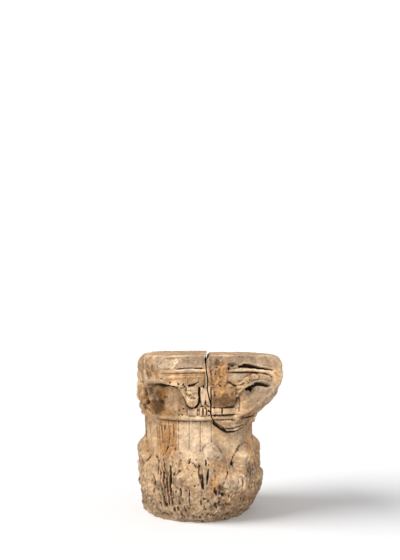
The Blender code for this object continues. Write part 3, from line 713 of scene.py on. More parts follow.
def lobe_carving(bearing, height):
    """Ridges and a rough band on the tongue that hangs from the rejoined corner."""
    return marked(np.radians(turned_away(bearing, 0.0)) * LOBE_RADIUS, height, LOBE_MARKS)


def roughness_of(bearing, height, across):
    """How strongly the weather has eaten each part of the surface."""
    amount = np.interp(
        height,
        (0.0, 0.040, 0.100, 0.150, 0.178, 0.200, 0.250, 0.262, 0.345, 0.375, 0.420),
        (2.4, 2.00, 1.60, 1.20, 0.75, 0.35, 0.30, 0.80, 0.75, 0.55, 0.80),
    )
    front = np.abs(turned_away(bearing, 0.0)) < 45.0
    crust = soft_spot(across, height, (0.015, 0.372), (0.036, 0.050)) * front
    streaks = soft_spot(turned_away(bearing, -46.0), height, (0.0, 0.205), (17.0, 0.060))
    corner = smooth_step(np.abs(across), 0.105, 0.130) * smooth_step(height, 0.265, 0.290)
    broken = soft_spot(turned_away(bearing, -62.0), height, (0.0, 0.320), (24.0, 0.100))
    return amount + 2.6 * crust + 0.8 * streaks + 0.6 * corner * (height < 0.345) + 0.5 * broken


def weathering(points, bearing, height, across):
    """Grain, pits, lumps and softened hollows. Out is positive."""
    amount = roughness_of(bearing, height, across)
    upright = points * (1.0, 1.0, 0.40)
    grain = 0.00100 * layered_noise(points, 0.0125, 31, 2) + 0.00070 * noise(points, 0.0042, 34)
    furrows = 0.0013 * layered_noise(upright, 0.0090, 36, 2) * (height < FILLET_BOTTOM)
    pits = 0.0058 * np.clip(layered_noise(points, 0.0085, 39, 2) - 0.60, 0.0, None)
    eaten = smooth_step(amount, 1.0, 1.9)
    lumps = (0.0036 * layered_noise(points, 0.022, 44, 2) - 0.0030 * np.abs(noise(points, 0.0105, 47)) + 0.0010) * eaten
    return (grain + furrows - pits) * amount + lumps


def seen_carving(points):
    """The marks of the front's left corner. Out is positive."""
    across, height = on_front_plane(points)
    in_view = np.abs(turned_away(bearing_of(points), EYE_BEARING)) < 82.0
    return marked(across, height, SEEN_MARKS) * in_view


def stone_radius(bearing, height, flute, with_lobe):
    """The carved surface. with_lobe gives the rejoined corner's skin, which stands proud of the neck."""
    points = round_places(DRUM_RADIUS, bearing, height)
    ragged = noise(points, 0.009, 5)
    plain, across = side_place(bearing)
    front = np.abs(turned_away(bearing, 0.0)) < 45.0
    worn_side = front & (across > WORN_EGGS_FROM)

    radius = turned_radius(height) - flute * flute_share(bearing, height, points)
    if with_lobe:
        proud = (height > LOBE_FOOT) & (height < FILLET_BOTTOM)
        lobe = LOBE_RADIUS + 0.0008 * ragged + lobe_carving(bearing, height)
        radius = np.where(proud, np.maximum(radius, lobe), radius)
    for place in leaf_places():
        radius = np.maximum(radius, leaf_radius(bearing, height, place, points))
    carved = height < (LOBE_FOOT if with_lobe else FILLET_BOTTOM)
    radius = radius + leaf_carving(bearing, height, ragged) * carved
    worn = np.maximum(worn_eggs_radius(across, height), worn_tiles_radius(across, height))
    radius = np.maximum(radius, np.where(worn_side, worn, egg_zone_radius(across, height)))
    radius = np.maximum(radius, upper_zone_radius(plain, across, height, front))
    for stump in STUMPS:
        radius = np.maximum(radius, stump_radius(bearing, height, plain, across, stump))

    warped = across + 0.0008 * ragged
    carved_zone = height > FILLET_TOP
    radius = radius + side_carving(warped, height, front) * carved_zone
    wandering = height + 0.0013 * noise(points, 0.012, 7)
    patchy = layered_noise(points, 0.024, 9, 2)
    warped = warped + 0.0010 * noise(points, 0.013, 8)
    radius = radius + front_carving(warped, wandering, patchy) * (carved_zone & front)
    for middle, reach in (FRONT_RIGHT, FRONT_LEFT, BACK_RIGHT, BACK_LEFT):
        radius = cut_back(radius, bearing, height, middle, reach)

    outer = round_places(radius, bearing, height)
    arris = ARRIS_WEAR * (1.0 + 0.7 * noise(points, 0.035, 71) + 1.2 * smooth_step(radius, 0.185, 0.215))
    arris = arris + BROKEN_ARRIS_WEAR * bump(turned_away(bearing, BROKEN_ARRIS_BEARING), 42.0)
    top_round = 1.0 - bump(np.clip(height - (HEIGHT - arris), 0.0, None), arris)
    radius = radius + drift(bearing, height) - arris * top_round
    worn_back = bump(turned_away(bearing, WORN_BACK_BEARING), WORN_BACK_HALF_ANGLE)
    radius = radius - WORN_BACK_DEPTH * worn_back * smooth_step(height, WORN_BACK_FOOT, HEIGHT)
    radius = radius + slow_wear(bearing, height) * smooth_step(height, 0.0, 0.02)
    return radius + weathering(outer, bearing, height, across) + seen_carving(outer)


def bed_relief(points, sloping):
    """How far the flat upper bed is hollowed and pitted, downwards only. The rejoined corner's slopes back."""
    waves = 0.0012 * (1.0 + layered_noise(points, 0.060, 51, 2)) / 2.0
    picks = 0.0030 * np.clip(layered_noise(points, 0.014, 54, 2) - 0.25, 0.0, None)
    scratches = 0.0010 * np.clip(noise(points * (0.25, 1.6, 1.0), 0.012, 57) - 0.3, 0.0, None)
    slope = BACK_SLOPE_DROP * smooth_step(points[:, 1], BACK_SLOPE_FROM, BACK_SLOPE_TO) * sloping
    return slope + waves + picks + scratches + 0.0006 * (1.0 + noise(points, 0.005, 59))


class Wiring:
    """Short calls for building a tree of nodes."""

    def __init__(self, tree):
        self.tree = tree
        self.add, self.subtract, self.multiply, self.divide = (
            functools.partial(self.math, kind) for kind in ("ADD", "SUBTRACT", "MULTIPLY", "DIVIDE"))

    def node(self, kind, sockets=None, **settings):
        """A new node with these settings, its sockets fed by name or number."""
        node = self.tree.nodes.new(kind)
        for name, value in settings.items():
            setattr(node, name, value)
        return self.fill(node, sockets or {})

    def fill(self, node, sockets):
        for name, value in sockets.items():
            self.feed(node.inputs[name], value)
        return node

    def feed(self, socket, value):
        if isinstance(value, bpy.types.NodeSocket):
            self.tree.links.new(value, socket)
        else:
            socket.default_value = value

    def math(self, operation, *values):
        return self.node("ShaderNodeMath", dict(enumerate(values)), operation=operation).outputs[0]

    def mix(self, share, first, second):
        return self.node("ShaderNodeMix", {"Factor": share, 6: first, 7: second}, data_type="RGBA").outputs[2]

    def spread(self, *values):
        """A value, its range low to high, and what that is eased on to if not 0 to 1."""
        sockets = dict(enumerate((*values, 0.0, 1.0)[:5]))
        return self.node("ShaderNodeMapRange", sockets, interpolation_type="SMOOTHSTEP").outputs[0]


def new_tree(name, inputs):
    """A geometry tree with named inputs, its wiring, and its input and output nodes."""
    tree = bpy.data.node_groups.new(name, "GeometryNodeTree")
    for label, kind in (("Geometry", "Geometry"), *inputs):
        tree.interface.new_socket(label, in_out="INPUT", socket_type="NodeSocket" + kind)
    tree.interface.new_socket("Geometry", in_out="OUTPUT", socket_type="NodeSocketGeometry")
    wiring = Wiring(tree)
    return tree, wiring, wiring.node("NodeGroupInput").outputs, wiring.node("NodeGroupOutput").inputs


def finish_tree(wiring, geometry, stone, result):
    """Every tree ends the same way: instances made real, then the material."""
    real = wiring.node("GeometryNodeRealizeInstances", {0: geometry}).outputs[0]
    dressed = wiring.node("GeometryNodeSetMaterial", {"Geometry": real, "Material": stone})
    wiring.feed(result["Geometry"], dressed.outputs[0])


def drum_tree():
    """A closed fluted drum: a grid wrapped round the axis, from the middle of one bed to the other's."""
    tree, wiring, given, result = new_tree("fluted drum", (
        ("Columns", "Int"), ("Rings Below", "Int"), ("Rings Up", "Int"), ("Rings Above", "Int"), ("Height", "Float"),
        ("Radius", "Float"), ("Flutes", "Int"), ("Flute Depth", "Float"), ("Line Depth", "Float"),
        ("Line Width", "Float"), ("Front Crowding", "Float"), ("Rise Crowding", "Float"), ("Stone", "Material"),
    ))
    add, subtract, multiply, divide = wiring.add, wiring.subtract, wiring.multiply, wiring.divide
    rings = add(add(given["Rings Below"], given["Rings Above"]), given["Rings Up"])
    grid = wiring.node("GeometryNodeMeshGrid", {
        "Size X": 1.0, "Size Y": 1.0, "Vertices X": add(given["Columns"], 1.0), "Vertices Y": add(rings, 1.0)})
    position = wiring.node("GeometryNodeInputPosition").outputs[0]
    place = wiring.node("ShaderNodeSeparateXYZ", {0: position}).outputs

    even = multiply(place["X"], math.tau)
    turn = subtract(even, multiply(given["Front Crowding"], wiring.math("SINE", even)))
    ring = multiply(add(place["Y"], 0.5), rings)
    below = divide(ring, given["Rings Below"])
    above = divide(subtract(rings, ring), given["Rings Above"])
    share = wiring.math("MINIMUM", wiring.math("MINIMUM", below, above), 1.0)
    climb = divide(subtract(ring, given["Rings Below"]), given["Rings Up"])
    climb = wiring.math("MAXIMUM", wiring.math("MINIMUM", climb, 1.0), 0.0)
    ease = multiply(multiply(climb, subtract(1.0, climb)), given["Rise Crowding"])
    rise = multiply(add(climb, ease), given["Height"])

    pitch = divide(math.tau, given["Flutes"])
    within = subtract(wiring.math("FRACT", add(divide(turn, pitch), FLUTE_PHASE)), 0.5)
    swing = wiring.math("SINE", multiply(within, math.pi))
    hollow = multiply(multiply(swing, swing), given["Flute Depth"])
    off_line = divide(multiply(multiply(within, pitch), given["Radius"]), given["Line Width"])
    round_back = wiring.math("MAXIMUM", subtract(1.0, multiply(off_line, off_line)), 0.0)
    flute = add(hollow, multiply(wiring.math("SQRT", round_back), given["Line Depth"]))
    radius = multiply(subtract(given["Radius"], flute), share)

    geometry = grid.outputs["Mesh"]
    for name, value in (("share", share), ("flute", flute)):
        geometry = wiring.node(
            "GeometryNodeStoreNamedAttribute", {"Name": name, "Geometry": geometry, "Value": value},
            data_type="FLOAT", domain="POINT").outputs[0]
    wrapped = wiring.node("ShaderNodeCombineXYZ", {
        "X": multiply(radius, wiring.math("SINE", turn)),
        "Y": multiply(multiply(radius, wiring.math("COSINE", turn)), -1.0), "Z": rise})
    wrap = wiring.node("GeometryNodeSetPosition", {"Geometry": geometry, "Position": wrapped.outputs[0]})
    closed = wiring.node("GeometryNodeMergeByDistance", {"Geometry": wrap.outputs[0], "Distance": SEAM})
    finish_tree(wiring, closed.outputs[0], given["Stone"], result)
    return tree


def drill_tree():
    """A tapering bit at each point, along the point's own direction, as thick and long as it says."""
    tree, wiring, given, result = new_tree("drill bits", (("Sides", "Int"), ("Stone", "Material")))
    bit = wiring.node("GeometryNodeMeshCone", {
        "Vertices": given["Sides"], "Radius Top": BIT_TAPER, "Radius Bottom": 1.0, "Depth": 1.0})
    inward, bore, reach = (
        wiring.node("GeometryNodeInputNamedAttribute", {"Name": name}, data_type=kind).outputs["Attribute"]
        for name, kind in (("inward", "FLOAT_VECTOR"), ("bore", "FLOAT"), ("reach", "FLOAT")))
    size = wiring.node("ShaderNodeCombineXYZ", {"X": bore, "Y": bore, "Z": reach})
    aim = wiring.node("FunctionNodeAlignRotationToVector", {"Vector": inward}, axis="Z")
    points = wiring.node("GeometryNodeMeshToPoints", {"Mesh": given["Geometry"]})
    place = wiring.node("GeometryNodeInstanceOnPoints", {
        "Points": points.outputs[0], "Instance": bit.outputs["Mesh"], "Rotation": aim.outputs[0],
        "Scale": size.outputs[0]})
    finish_tree(wiring, place.outputs[0], given["Stone"], result)
    return tree


def grown_mesh(name, tree, values, seed_mesh):
    """The plain mesh that a geometry tree makes of seed_mesh with these inputs."""
    carrier = bpy.data.objects.new(name, seed_mesh)
    bpy.context.scene.collection.objects.link(carrier)
    modifier = carrier.modifiers.new(name, "NODES")
    modifier.node_group = tree
    for item in tree.interface.items_tree:
        if item.in_out == "INPUT" and item.name in values:
            modifier[item.identifier] = values[item.name]
    seen = carrier.evaluated_get(bpy.context.evaluated_depsgraph_get())
    mesh = bpy.data.meshes.new_from_object(seen)
    bpy.data.objects.remove(carrier)
    return mesh


def point_values(mesh, name):
    values = np.empty(len(mesh.vertices), np.float32)
    mesh.attributes[name].data.foreach_get("value", values)
    return values.astype(float)


def vertex_places(mesh):
    places = np.empty(3 * len(mesh.vertices), np.float32)
    mesh.vertices.foreach_get("co", places)
    return places.reshape(-1, 3).astype(float)


def move_vertices(mesh, places):
    mesh.vertices.foreach_set("co", places.astype(np.float32).ravel())
    mesh.update()


def mesh_edges(mesh):
    edges = np.empty(2 * len(mesh.edges), np.int32)
    mesh.edges.foreach_get("vertices", edges)
    return edges.reshape(-1, 2)


def neighbour_mean(values, edges):
    """The mean of each vertex's neighbours."""
    count = len(values)
    ends = np.concatenate((edges[:, 0], edges[:, 1]))
    others = np.concatenate((edges[:, 1], edges[:, 0]))
    total = np.stack([np.bincount(ends, values[others, axis], count) for axis in range(values.shape[1])], axis=-1)
    return total / np.maximum(np.bincount(ends, minlength=count), 1)[:, None]


def carve_drum(mesh, with_lobe):
    """Moves a copy of the fluted drum out to the carved surface, and hollows its upper bed."""
    bare = vertex_places(mesh)
    bearing, height = bearing_of(bare), bare[:, 2]
    share = point_values(mesh, "share")
    radius = stone_radius(bearing, height, point_values(mesh, "flute"), with_lobe) * share
    places = round_places(radius, bearing, height)
    upper_bed = height > HEIGHT - SEAM
    slope = BACK_SLOPE_DROP * smooth_step(places[:, 1], BACK_SLOPE_FROM, BACK_SLOPE_TO) * with_lobe
    near_top = smooth_step(height, ABACUS_FOOT, HEIGHT)
    places[:, 2] = np.where(upper_bed, height - bed_relief(places, with_lobe), height - slope * near_top)
    # the coarser rings of the sides and back would leave steps on slanting edges
    ease = 0.5 * smooth_step(np.abs(bearing), 42.0, 54.0) * smooth_step(height, FILLET_BOTTOM, BEAD_BOTTOM) * ~upper_bed
    edges = mesh_edges(mesh)
    for _ in range(SIDE_EASE_ROUNDS):
        places += ease[:, None] * (neighbour_mean(places, edges) - places)
    move_vertices(mesh, places)
    return mesh


def finer(outline, steps):
    """Each stretch of an outline in steps."""
    points = []
    for start, end in zip(outline[:-1], outline[1:]):
        for step in range(steps):
            part = step / steps
            points.append((start[0] + (end[0] - start[0]) * part, start[1] + (end[1] - start[1]) * part))
    return points + [outline[-1]]


def break_mesh(name, gap_open):
    """The rejoined corner's side of the break, lofted along the crack from rough sections."""
    outline = finer(BREAK_OUTLINE, BREAK_STEPS)
    across, height = np.array(outline).T
    run_x, run_z = np.gradient(across), np.gradient(height)
    run = np.hypot(run_x, run_z)
    normal_x, normal_z = run_z / run, -run_x / run
    upright = smooth_step(height, SEAT_FROM, SEAT_TO)
    mouth = smooth_step(height, HEIGHT - CRACK_MOUTH_DEPTH, HEIGHT)
    gap = SEAT_GAP + (CRACK_WIDTH - SEAT_GAP) * upright + (CRACK_MOUTH_WIDTH - CRACK_WIDTH) * mouth
    index = np.arange(len(outline)) / BREAK_STEPS
    far = 2.0 * ABACUS_HALF_SPAN
    top = HEIGHT + 0.060

    shape = bmesh.new()
    rings = []
    for depth in np.linspace(-far, far, BREAK_SECTIONS):
        rough = BREAK_ROUGHNESS * (
            np.sin(61.0 * depth + 2.3 * index) + 0.7 * np.sin(103.0 * depth - 1.7 * index + 1.0))
        places = np.stack((across, np.full_like(across, depth), height), axis=-1)
        rough = rough + BREAK_GRAIN * layered_noise(places, 0.012, 61, 3)
        push = rough * (1.0 - CALM_MOUTH_SHARE * mouth) + (gap if gap_open else 0.0)
        rise = SEAT_RISE * max(depth, SEAT_RISE_FROM) * (1.0 - upright)
        xs = across + normal_x * push
        zs = height + normal_z * push + rise
        section = [(xs[0], top)] + list(zip(xs, zs)) + [(far, zs[-1] + 0.07), (far, top)]
        rings.append([shape.verts.new((x, depth, z)) for x, z in section])
    for near, beyond in zip(rings[:-1], rings[1:]):
        for place in range(len(near)):
            beside = (place + 1) % len(near)
            shape.faces.new((near[place], near[beside], beyond[beside]))
            shape.faces.new((near[place], beyond[beside], beyond[place]))
    shape.faces.new(rings[0][::-1])
    shape.faces.new(rings[-1])
    bmesh.ops.recalc_face_normals(shape, faces=shape.faces)
    shape.transform(Matrix.Rotation(math.radians(-BREAK_TURN), 4, "Z"))
    mesh = bpy.data.meshes.new(name)
    shape.to_mesh(mesh)
    shape.free()
    return mesh


def on_front_plane(points):
    """Where the sight line to each point meets the plane of the front: across and height."""
    depth = points[:, 1] + ABACUS_HALF
    across = points[:, 0] - depth * math.tan(math.radians(-EYE_BEARING))
    behind = depth / math.cos(math.radians(EYE_BEARING))
    height = points[:, 2] + (EYE_HEIGHT - points[:, 2]) * behind / (EYE_DISTANCE - ABACUS_HALF + behind)
    return across, height


def drill_points(mesh):
    """A mesh of points where the drill went in, each with its direction, bore and reach."""
    places = vertex_places(mesh)
    bearing = bearing_of(places)
    across, height = on_front_plane(places)
    in_view = (np.abs(turned_away(bearing, EYE_BEARING)) < 75.0) & (places[:, 2] < HEIGHT - ARRIS_WEAR)
    marks = []
    for x, z, bore in FRONT_HOLES:
        miss = np.hypot(across - x, height - z) + np.where(in_view, 0.0, 1.0)
        marks.append((places[np.argmin(miss)], DRILL_WEAR * bore))
    for middle, *place in LEAF_HOLES:
        z, bore = (value / TENTHS for value in place)
        miss = np.hypot(np.radians(turned_away(bearing, middle)) * LEAF_GROUND_RADIUS, places[:, 2] - z)
        marks.append((places[np.argmin(miss)], bore))
    for face in (90.0, 180.0, 270.0):
        for x, z, bore in FRONT_HOLES[:20:2]:
            for side in (-1.0, 1.0):
                middle = face + side * math.degrees(math.atan2(x, ABACUS_HALF))
                miss = np.hypot(np.radians(turned_away(bearing, middle)) * ABACUS_HALF, places[:, 2] - z)
                marks.append((places[np.argmin(miss)], 0.9 * bore))
    points = bpy.data.meshes.new("drill points")
    points.from_pydata([place for place, _ in marks], [], [])
    inward = np.array([(-place[0], -place[1], 0.0) for place, _ in marks])
    inward[:, 2] = 0.35 * np.hypot(inward[:, 0], inward[:, 1]) * np.sin(np.arange(len(marks)) * 2.4)
    points.attributes.new("inward", "FLOAT_VECTOR", "POINT").data.foreach_set("vector", inward.ravel())
    points.attributes.new("bore", "FLOAT", "POINT").data.foreach_set("value", [bore for _, bore in marks])
    points.attributes.new("reach", "FLOAT", "POINT").data.foreach_set(
        "value", [2.0 * HOLE_REACH * min(1.0, bore / 0.0022) for _, bore in marks])
    return points


def cut_mesh(name, mesh, cuts):
    """A mesh cut by others in turn: (mesh, DIFFERENCE or INTERSECT)."""
    stone = bpy.data.objects.new(name, mesh)
    bpy.context.scene.collection.objects.link(stone)
    cutters = []
    for cutting_mesh, operation in cuts:
        cutter = bpy.data.objects.new(name + " cutter", cutting_mesh)
        bpy.context.scene.collection.objects.link(cutter)
        cutters.append(cutter)
        parting = stone.modifiers.new(operation, "BOOLEAN")
        parting.operation = operation
        parting.solver = "MANIFOLD"
        parting.object = cutter
    seen = stone.evaluated_get(bpy.context.evaluated_depsgraph_get())
    result = bpy.data.meshes.new_from_object(seen)
    for leftover in (stone, *cutters):
        bpy.data.objects.remove(leftover)
    return result


def relief(mesh, rounds):
    """How far each vertex stands proud of its smoothed surroundings, along its normal."""
    count = len(mesh.vertices)
    edges = mesh_edges(mesh)
    normals = np.empty(3 * count, np.float32)
    mesh.vertices.foreach_get("normal", normals)
    places = vertex_places(mesh)
    smoothed = places
    for _ in range(rounds):
        smoothed = neighbour_mean(smoothed, edges)
    return np.einsum("ij,ij->i", places - smoothed, normals.reshape(-1, 3))


RAY_COUNT = 12
RAY_LENGTH = 0.050
RAY_LIFT = 0.0006


def sky_rays():
    """Directions spread over the half of the sky about +Z, more of them upright."""
    rays = []
    for index in range(RAY_COUNT):
        level = (index + 0.5) / RAY_COUNT
        turn = index * math.pi * (3.0 - math.sqrt(5.0))
        outward = math.sqrt(level)
        rays.append(Vector((outward * math.cos(turn), outward * math.sin(turn), math.sqrt(1.0 - level))))
    return rays


def shelter(mesh, tree):
    """How closed in each vertex is, 0 in the open and 1 deep in a hole; it darkens the hollows as dirt and painted
    shade.
    """
    rays = sky_rays()
    hidden = np.zeros(len(mesh.vertices))
    upright = Vector((0.0, 0.0, 1.0))
    for index, vertex in enumerate(mesh.vertices):
        normal = vertex.normal.copy()
        start = vertex.co + normal * RAY_LIFT
        turned = upright.rotation_difference(normal).to_matrix()
        total = 0.0
        for ray in rays:
            distance = tree.ray_cast(start, turned @ ray, RAY_LENGTH)[3]
            if distance is not None:
                total += 1.0 - distance / RAY_LENGTH
        hidden[index] = total / RAY_COUNT
    return hidden


# Stains and tones: kind, plane, and its spots, each with its middle, half-size and strength. On the "front"
# all four are millimetres across and up its plane. Those that lie "round" are in degrees, then millimetres.
# A few of these spots are painted light and shade, each marked where it stands.
STAINS_AND_SHADING = (
    ("pale", "front", (
        (60, 363, 30, 15, 0.8), (92, 380, 60, 6, 0.6), (-55, 382, 48, 5, 0.8), (-21, 318, 14, 22, 0.6),
        # the spot at -104 across is partly painted light: the lit middle of the left recess's rounded wall, over its
        # cream stone
        (-104, 310, 24, 38, 0.66),
    )),
    ("pale", "round", (
        (-16, 212, 20, 70, 1), (21, 101, 13, 22, 0.9), (-24, 120, 14, 30, 0.35), (20, 195, 24, 60, 0.55),
    )),
    ("orange", "round", (
        (-46, 205, 15, 60, 1), (1, 92, 4.5, 34, 1), (-45, 110, 9, 50, 0.7), (48, 175, 14, 30, 0.7),
        (4, 145, 10, 14, 0.5), (-70, 300, 16, 60, 0.8), (50, 160, 16, 60, 0.5),
    )),
    ("orange", "front", (
        (-114, 306, 36, 46, 0.95), (-90, 366, 60, 18, 0.55), (20, 365, 26, 40, 0.9), (25, 312, 40, 30, 0.7),
        (-57, 281, 18, 12, 0.8), (125, 310, 30, 45, 0.3),
    )),
    ("dark", "front", (
        (-141, 300, 20, 34, 0.85), (-160, 345, 14, 30, 0.6), (28, 304, 46, 22, 0.85), (12, 372, 26, 34, 0.55),
        # the narrow spot at -84 across is painted shadow: the deep shade at the right edge of the left recess
        (12, 400, 12, 22, 0.55), (-84, 298, 6, 34, 0.5), (100, 292, 26, 20, 0.35),
    )),
    ("dark", "round", (
        (43.5, 125, 10, 26, 0.9), (5.5, 80, 7, 22, 0.8), (3.5, 45, 6, 14, 0.6), (40, 255, 9, 22, 0.6),
    )),
    ("grey", "round", (
        (23, 138, 7, 14, 1), (0, 180, 13, 24, 1), (-39, 180, 10, 18, 1), (40, 186, 13, 20, 0.9),
        (-12, 90, 50, 50, 0.6), (40, 110, 30, 60, 0.5),
    )),
    ("grey", "front", (
        # the spot at 130 across darkens the right stump: partly its grey, partly painted shade on the side away from
        # the key light
        (-70, 403, 110, 24, 0.9), (95, 402, 100, 26, 0.9), (130, 320, 50, 50, 1),
    )),
)
STAIN_AND_SHADING_KINDS = ("pale", "orange", "dark", "grey")
STAIN_AND_SHADING_SPREAD = 1.25


def stain_and_shading_values(places):
    """The strength of each kind of stain, and of the painted light and shade among them, at each place."""
    bearing = bearing_of(places)
    across, height = on_front_plane(places)
    front = np.abs(turned_away(bearing, EYE_BEARING)) < 80.0
    values = {kind: np.zeros(len(places)) for kind in STAIN_AND_SHADING_KINDS}
    for kind, plane, spots in STAINS_AND_SHADING:
        for middle, level, half_across, half_up, strength in spots:
            rise = STAIN_AND_SHADING_SPREAD * (half_up / 1e3)
            if plane == "front":
                half_size = (STAIN_AND_SHADING_SPREAD * (half_across / 1e3), rise)
                spot = soft_spot(across, height, (middle / 1e3, level / 1e3), half_size) * front
            else:
                away = turned_away(bearing, middle)
                spot = soft_spot(away, places[:, 2], (0.0, level / 1e3), (STAIN_AND_SHADING_SPREAD * half_across, rise))
            values[kind] = np.maximum(values[kind], strength * np.sqrt(spot))
    uneven = 0.006 * layered_noise(places, 0.016, 64, 2)
    spall = inside_patch(across + uneven, height - uneven, SPALL_CORNERS, 0.0050) * front
    values["pale"] = np.maximum(values["pale"], spall)
    values["grey"] = values["grey"] * (1.0 - spall)
    return values


def store_values(mesh, name, values):
    attribute = mesh.attributes.new(name, "FLOAT", "POINT")
    attribute.data.foreach_set("value", np.clip(values, 0.0, 1.0).astype(np.float32))


CREAM = (0.75, 0.495, 0.270, 1.0)
TAN = (0.47, 0.265, 0.120, 1.0)
BROWN = (0.20, 0.092, 0.034, 1.0)
ORANGE = (0.52, 0.240, 0.068, 1.0)
# pale stone, and painted light in the left recess
PALE = (0.84, 0.63, 0.42, 1.0)
# grey stains and blotches, and painted shade on the right stump
GREY = (0.34, 0.240, 0.165, 1.0)
# earth and painted shade: the stone darkens towards the foot
EARTH_AND_SHADE = (0.22, 0.135, 0.075, 1.0)
# near-black for the hollows: dirt and painted shade
DIRT_AND_SHADE = (0.030, 0.013, 0.005, 1.0)
# dark stains, and the painted shadow in the left recess
BLACKENED_AND_SHADE = (0.085, 0.038, 0.013, 1.0)
FRESH = (0.84, 0.67, 0.48, 1.0)


def marble(name, brown_share, roughness):
    """Old marble: cream and tan clouds, brown mottling, the stains kept on the mesh, dirt and painted shade in its
    hollows.
    """
    material = bpy.data.materials.new(name)
    material.use_nodes = True
    wiring = Wiring(material.node_tree)
    add, multiply, mix, spread = wiring.add, wiring.multiply, wiring.mix, wiring.spread
    place = wiring.node("ShaderNodeTexCoord").outputs["Object"]

    def cloud(scale, detail, stretch=(1.0, 1.0, 1.0), distortion=0.0):
        mapping = wiring.node("ShaderNodeMapping", {"Vector": place, "Scale": stretch})
        return wiring.node("ShaderNodeTexNoise", {
            "Vector": mapping.outputs[0], "Scale": scale, "Detail": detail, "Roughness": 0.62,
            "Distortion": distortion}).outputs[0]

    def kept(attribute):
        return wiring.node("ShaderNodeAttribute", attribute_name=attribute).outputs["Fac"]

    broad = cloud(9.0, 4.0)
    mottle = cloud(48.0, 5.0, distortion=0.6)
    streak = cloud(38.0, 4.0, stretch=(1.0, 1.0, 0.14))
    blotch = cloud(21.0, 3.0, distortion=0.9)
    patches = cloud(30.0, 3.0, distortion=0.4)
    flecks = cloud(110.0, 3.0, distortion=0.5)
    grain = cloud(330.0, 3.0)
    speckle = cloud(150.0, 2.0)
    ragged = multiply(add(streak, mottle), 0.5)
    level = wiring.node("ShaderNodeSeparateXYZ", {0: place}).outputs["Z"]

    colour = mix(spread(broad, 0.36, 0.66), CREAM, TAN)
    colour = mix(multiply(spread(blotch, 0.50, 0.70), 0.7 * brown_share), colour, GREY)
    colour = mix(multiply(spread(mottle, 0.50, 0.72), brown_share), colour, BROWN)
    # each stain's tone where the mesh keeps it, painted light and shade among them, with a ragged edge from a texture
    for kind, tone, texture, strength in (
            ("grey", GREY, mottle, 0.75), ("orange", ORANGE, ragged, 0.80), ("pale", PALE, mottle, 0.80),
            ("dark", BLACKENED_AND_SHADE, mottle, 0.85)):
        uneven = multiply(wiring.subtract(texture, 0.5), 1.1)
        where = multiply(spread(add(kept(kind), uneven), 0.18, 0.80), strength)
        colour = mix(multiply(where, spread(kept(kind), 0.02, 0.25)), colour, tone)
    colour = mix(spread(streak, 0.44, 0.70, 0.0, 0.30), colour, BROWN)
    # earth and painted shade towards the foot, chips of fresh stone, pale edges, and dirt and painted shade in the
    # hollows
    colour = mix(spread(add(level, multiply(mottle, 0.06)), 0.125, 0.035, 0.0, 0.76), colour, EARTH_AND_SHADE)
    chips = multiply(spread(flecks, 0.56, 0.68), spread(level, 0.150, 0.185, 0.48, 0.12))
    colour = mix(chips, colour, FRESH)
    colour = mix(multiply(kept("edge"), 0.30), colour, FRESH)
    # painted shade with dirt: hollows and creases darken towards near-black
    colour = mix(spread(kept("hollow"), 0.13, 0.66, 0.0, 0.93), colour, DIRT_AND_SHADE)
    colour = mix(spread(kept("crease_dirt_and_shade"), 0.15, 0.90, 0.0, 0.58), colour, DIRT_AND_SHADE)
    tone = multiply(spread(speckle, 0.25, 0.75, 0.80, 1.16), spread(patches, 0.34, 0.66, 0.76, 1.20))
    shade = wiring.node("ShaderNodeVectorMath", {0: colour, "Scale": tone}, operation="SCALE")

    height = add(add(multiply(grain, 0.45), multiply(speckle, 0.8)), multiply(mottle, 0.9))
    raised_grain = wiring.node("ShaderNodeBump", {"Strength": 0.75, "Distance": 0.0022, "Height": height})
    wiring.fill(material.node_tree.nodes["Principled BSDF"], {
        "Base Color": shade.outputs[0],
        "Roughness": spread(mottle, 0.3, 0.7, roughness - 0.12, roughness + 0.08),
        "Specular IOR Level": 0.25,
        "Normal": raised_grain.outputs[0],
    })
    return material


def keep_inside(mesh, node):
    """Presses a carved mesh softly into the whole capital's box, and then into its own solid's."""
    places = vertex_places(mesh)
    for axis in (0, 1):
        for sign, limit in ((-1.0, -CAD_BOX[0][axis]), (1.0, CAD_BOX[1][axis])):
            inner = limit - SOFT_LIMIT
            out = sign * places[:, axis]
            pressed = inner + SOFT_LIMIT * np.tanh((out - inner) / SOFT_LIMIT)
            places[:, axis] = sign * np.where(out > inner, pressed, out)
    low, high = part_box(node)
    move_vertices(mesh, np.clip(places, np.array(low), np.array(high)))


def make_stone(name, node, mesh, tree, material):
    """Puts what the finish needs on a carved mesh and hands it over in place of its solid."""
    places = vertex_places(mesh)
    for kind, values in stain_and_shading_values(places).items():
        store_values(mesh, kind, values)
    fine = relief(mesh, 3)
    broad = relief(mesh, 14)
    store_values(mesh, "edge", smooth_step(fine, 0.00018, 0.00080) + 0.5 * smooth_step(broad, 0.0012, 0.0035))
    # fine creases and ray-cast shelter, for the dirt and painted shade in the hollows
    store_values(mesh, "crease_dirt_and_shade", smooth_step(-fine, 0.00020, 0.00110))
    store_values(mesh, "hollow", shelter(mesh, tree) + 0.36 * smooth_step(-broad, 0.0010, 0.0038))
    mesh.materials.clear()
    mesh.materials.append(material)
    mesh.shade_smooth()
    stone = bpy.data.objects.new(name, mesh)
    stones.objects.link(stone)
    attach(stone, "root")
    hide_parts(node)
    return stone


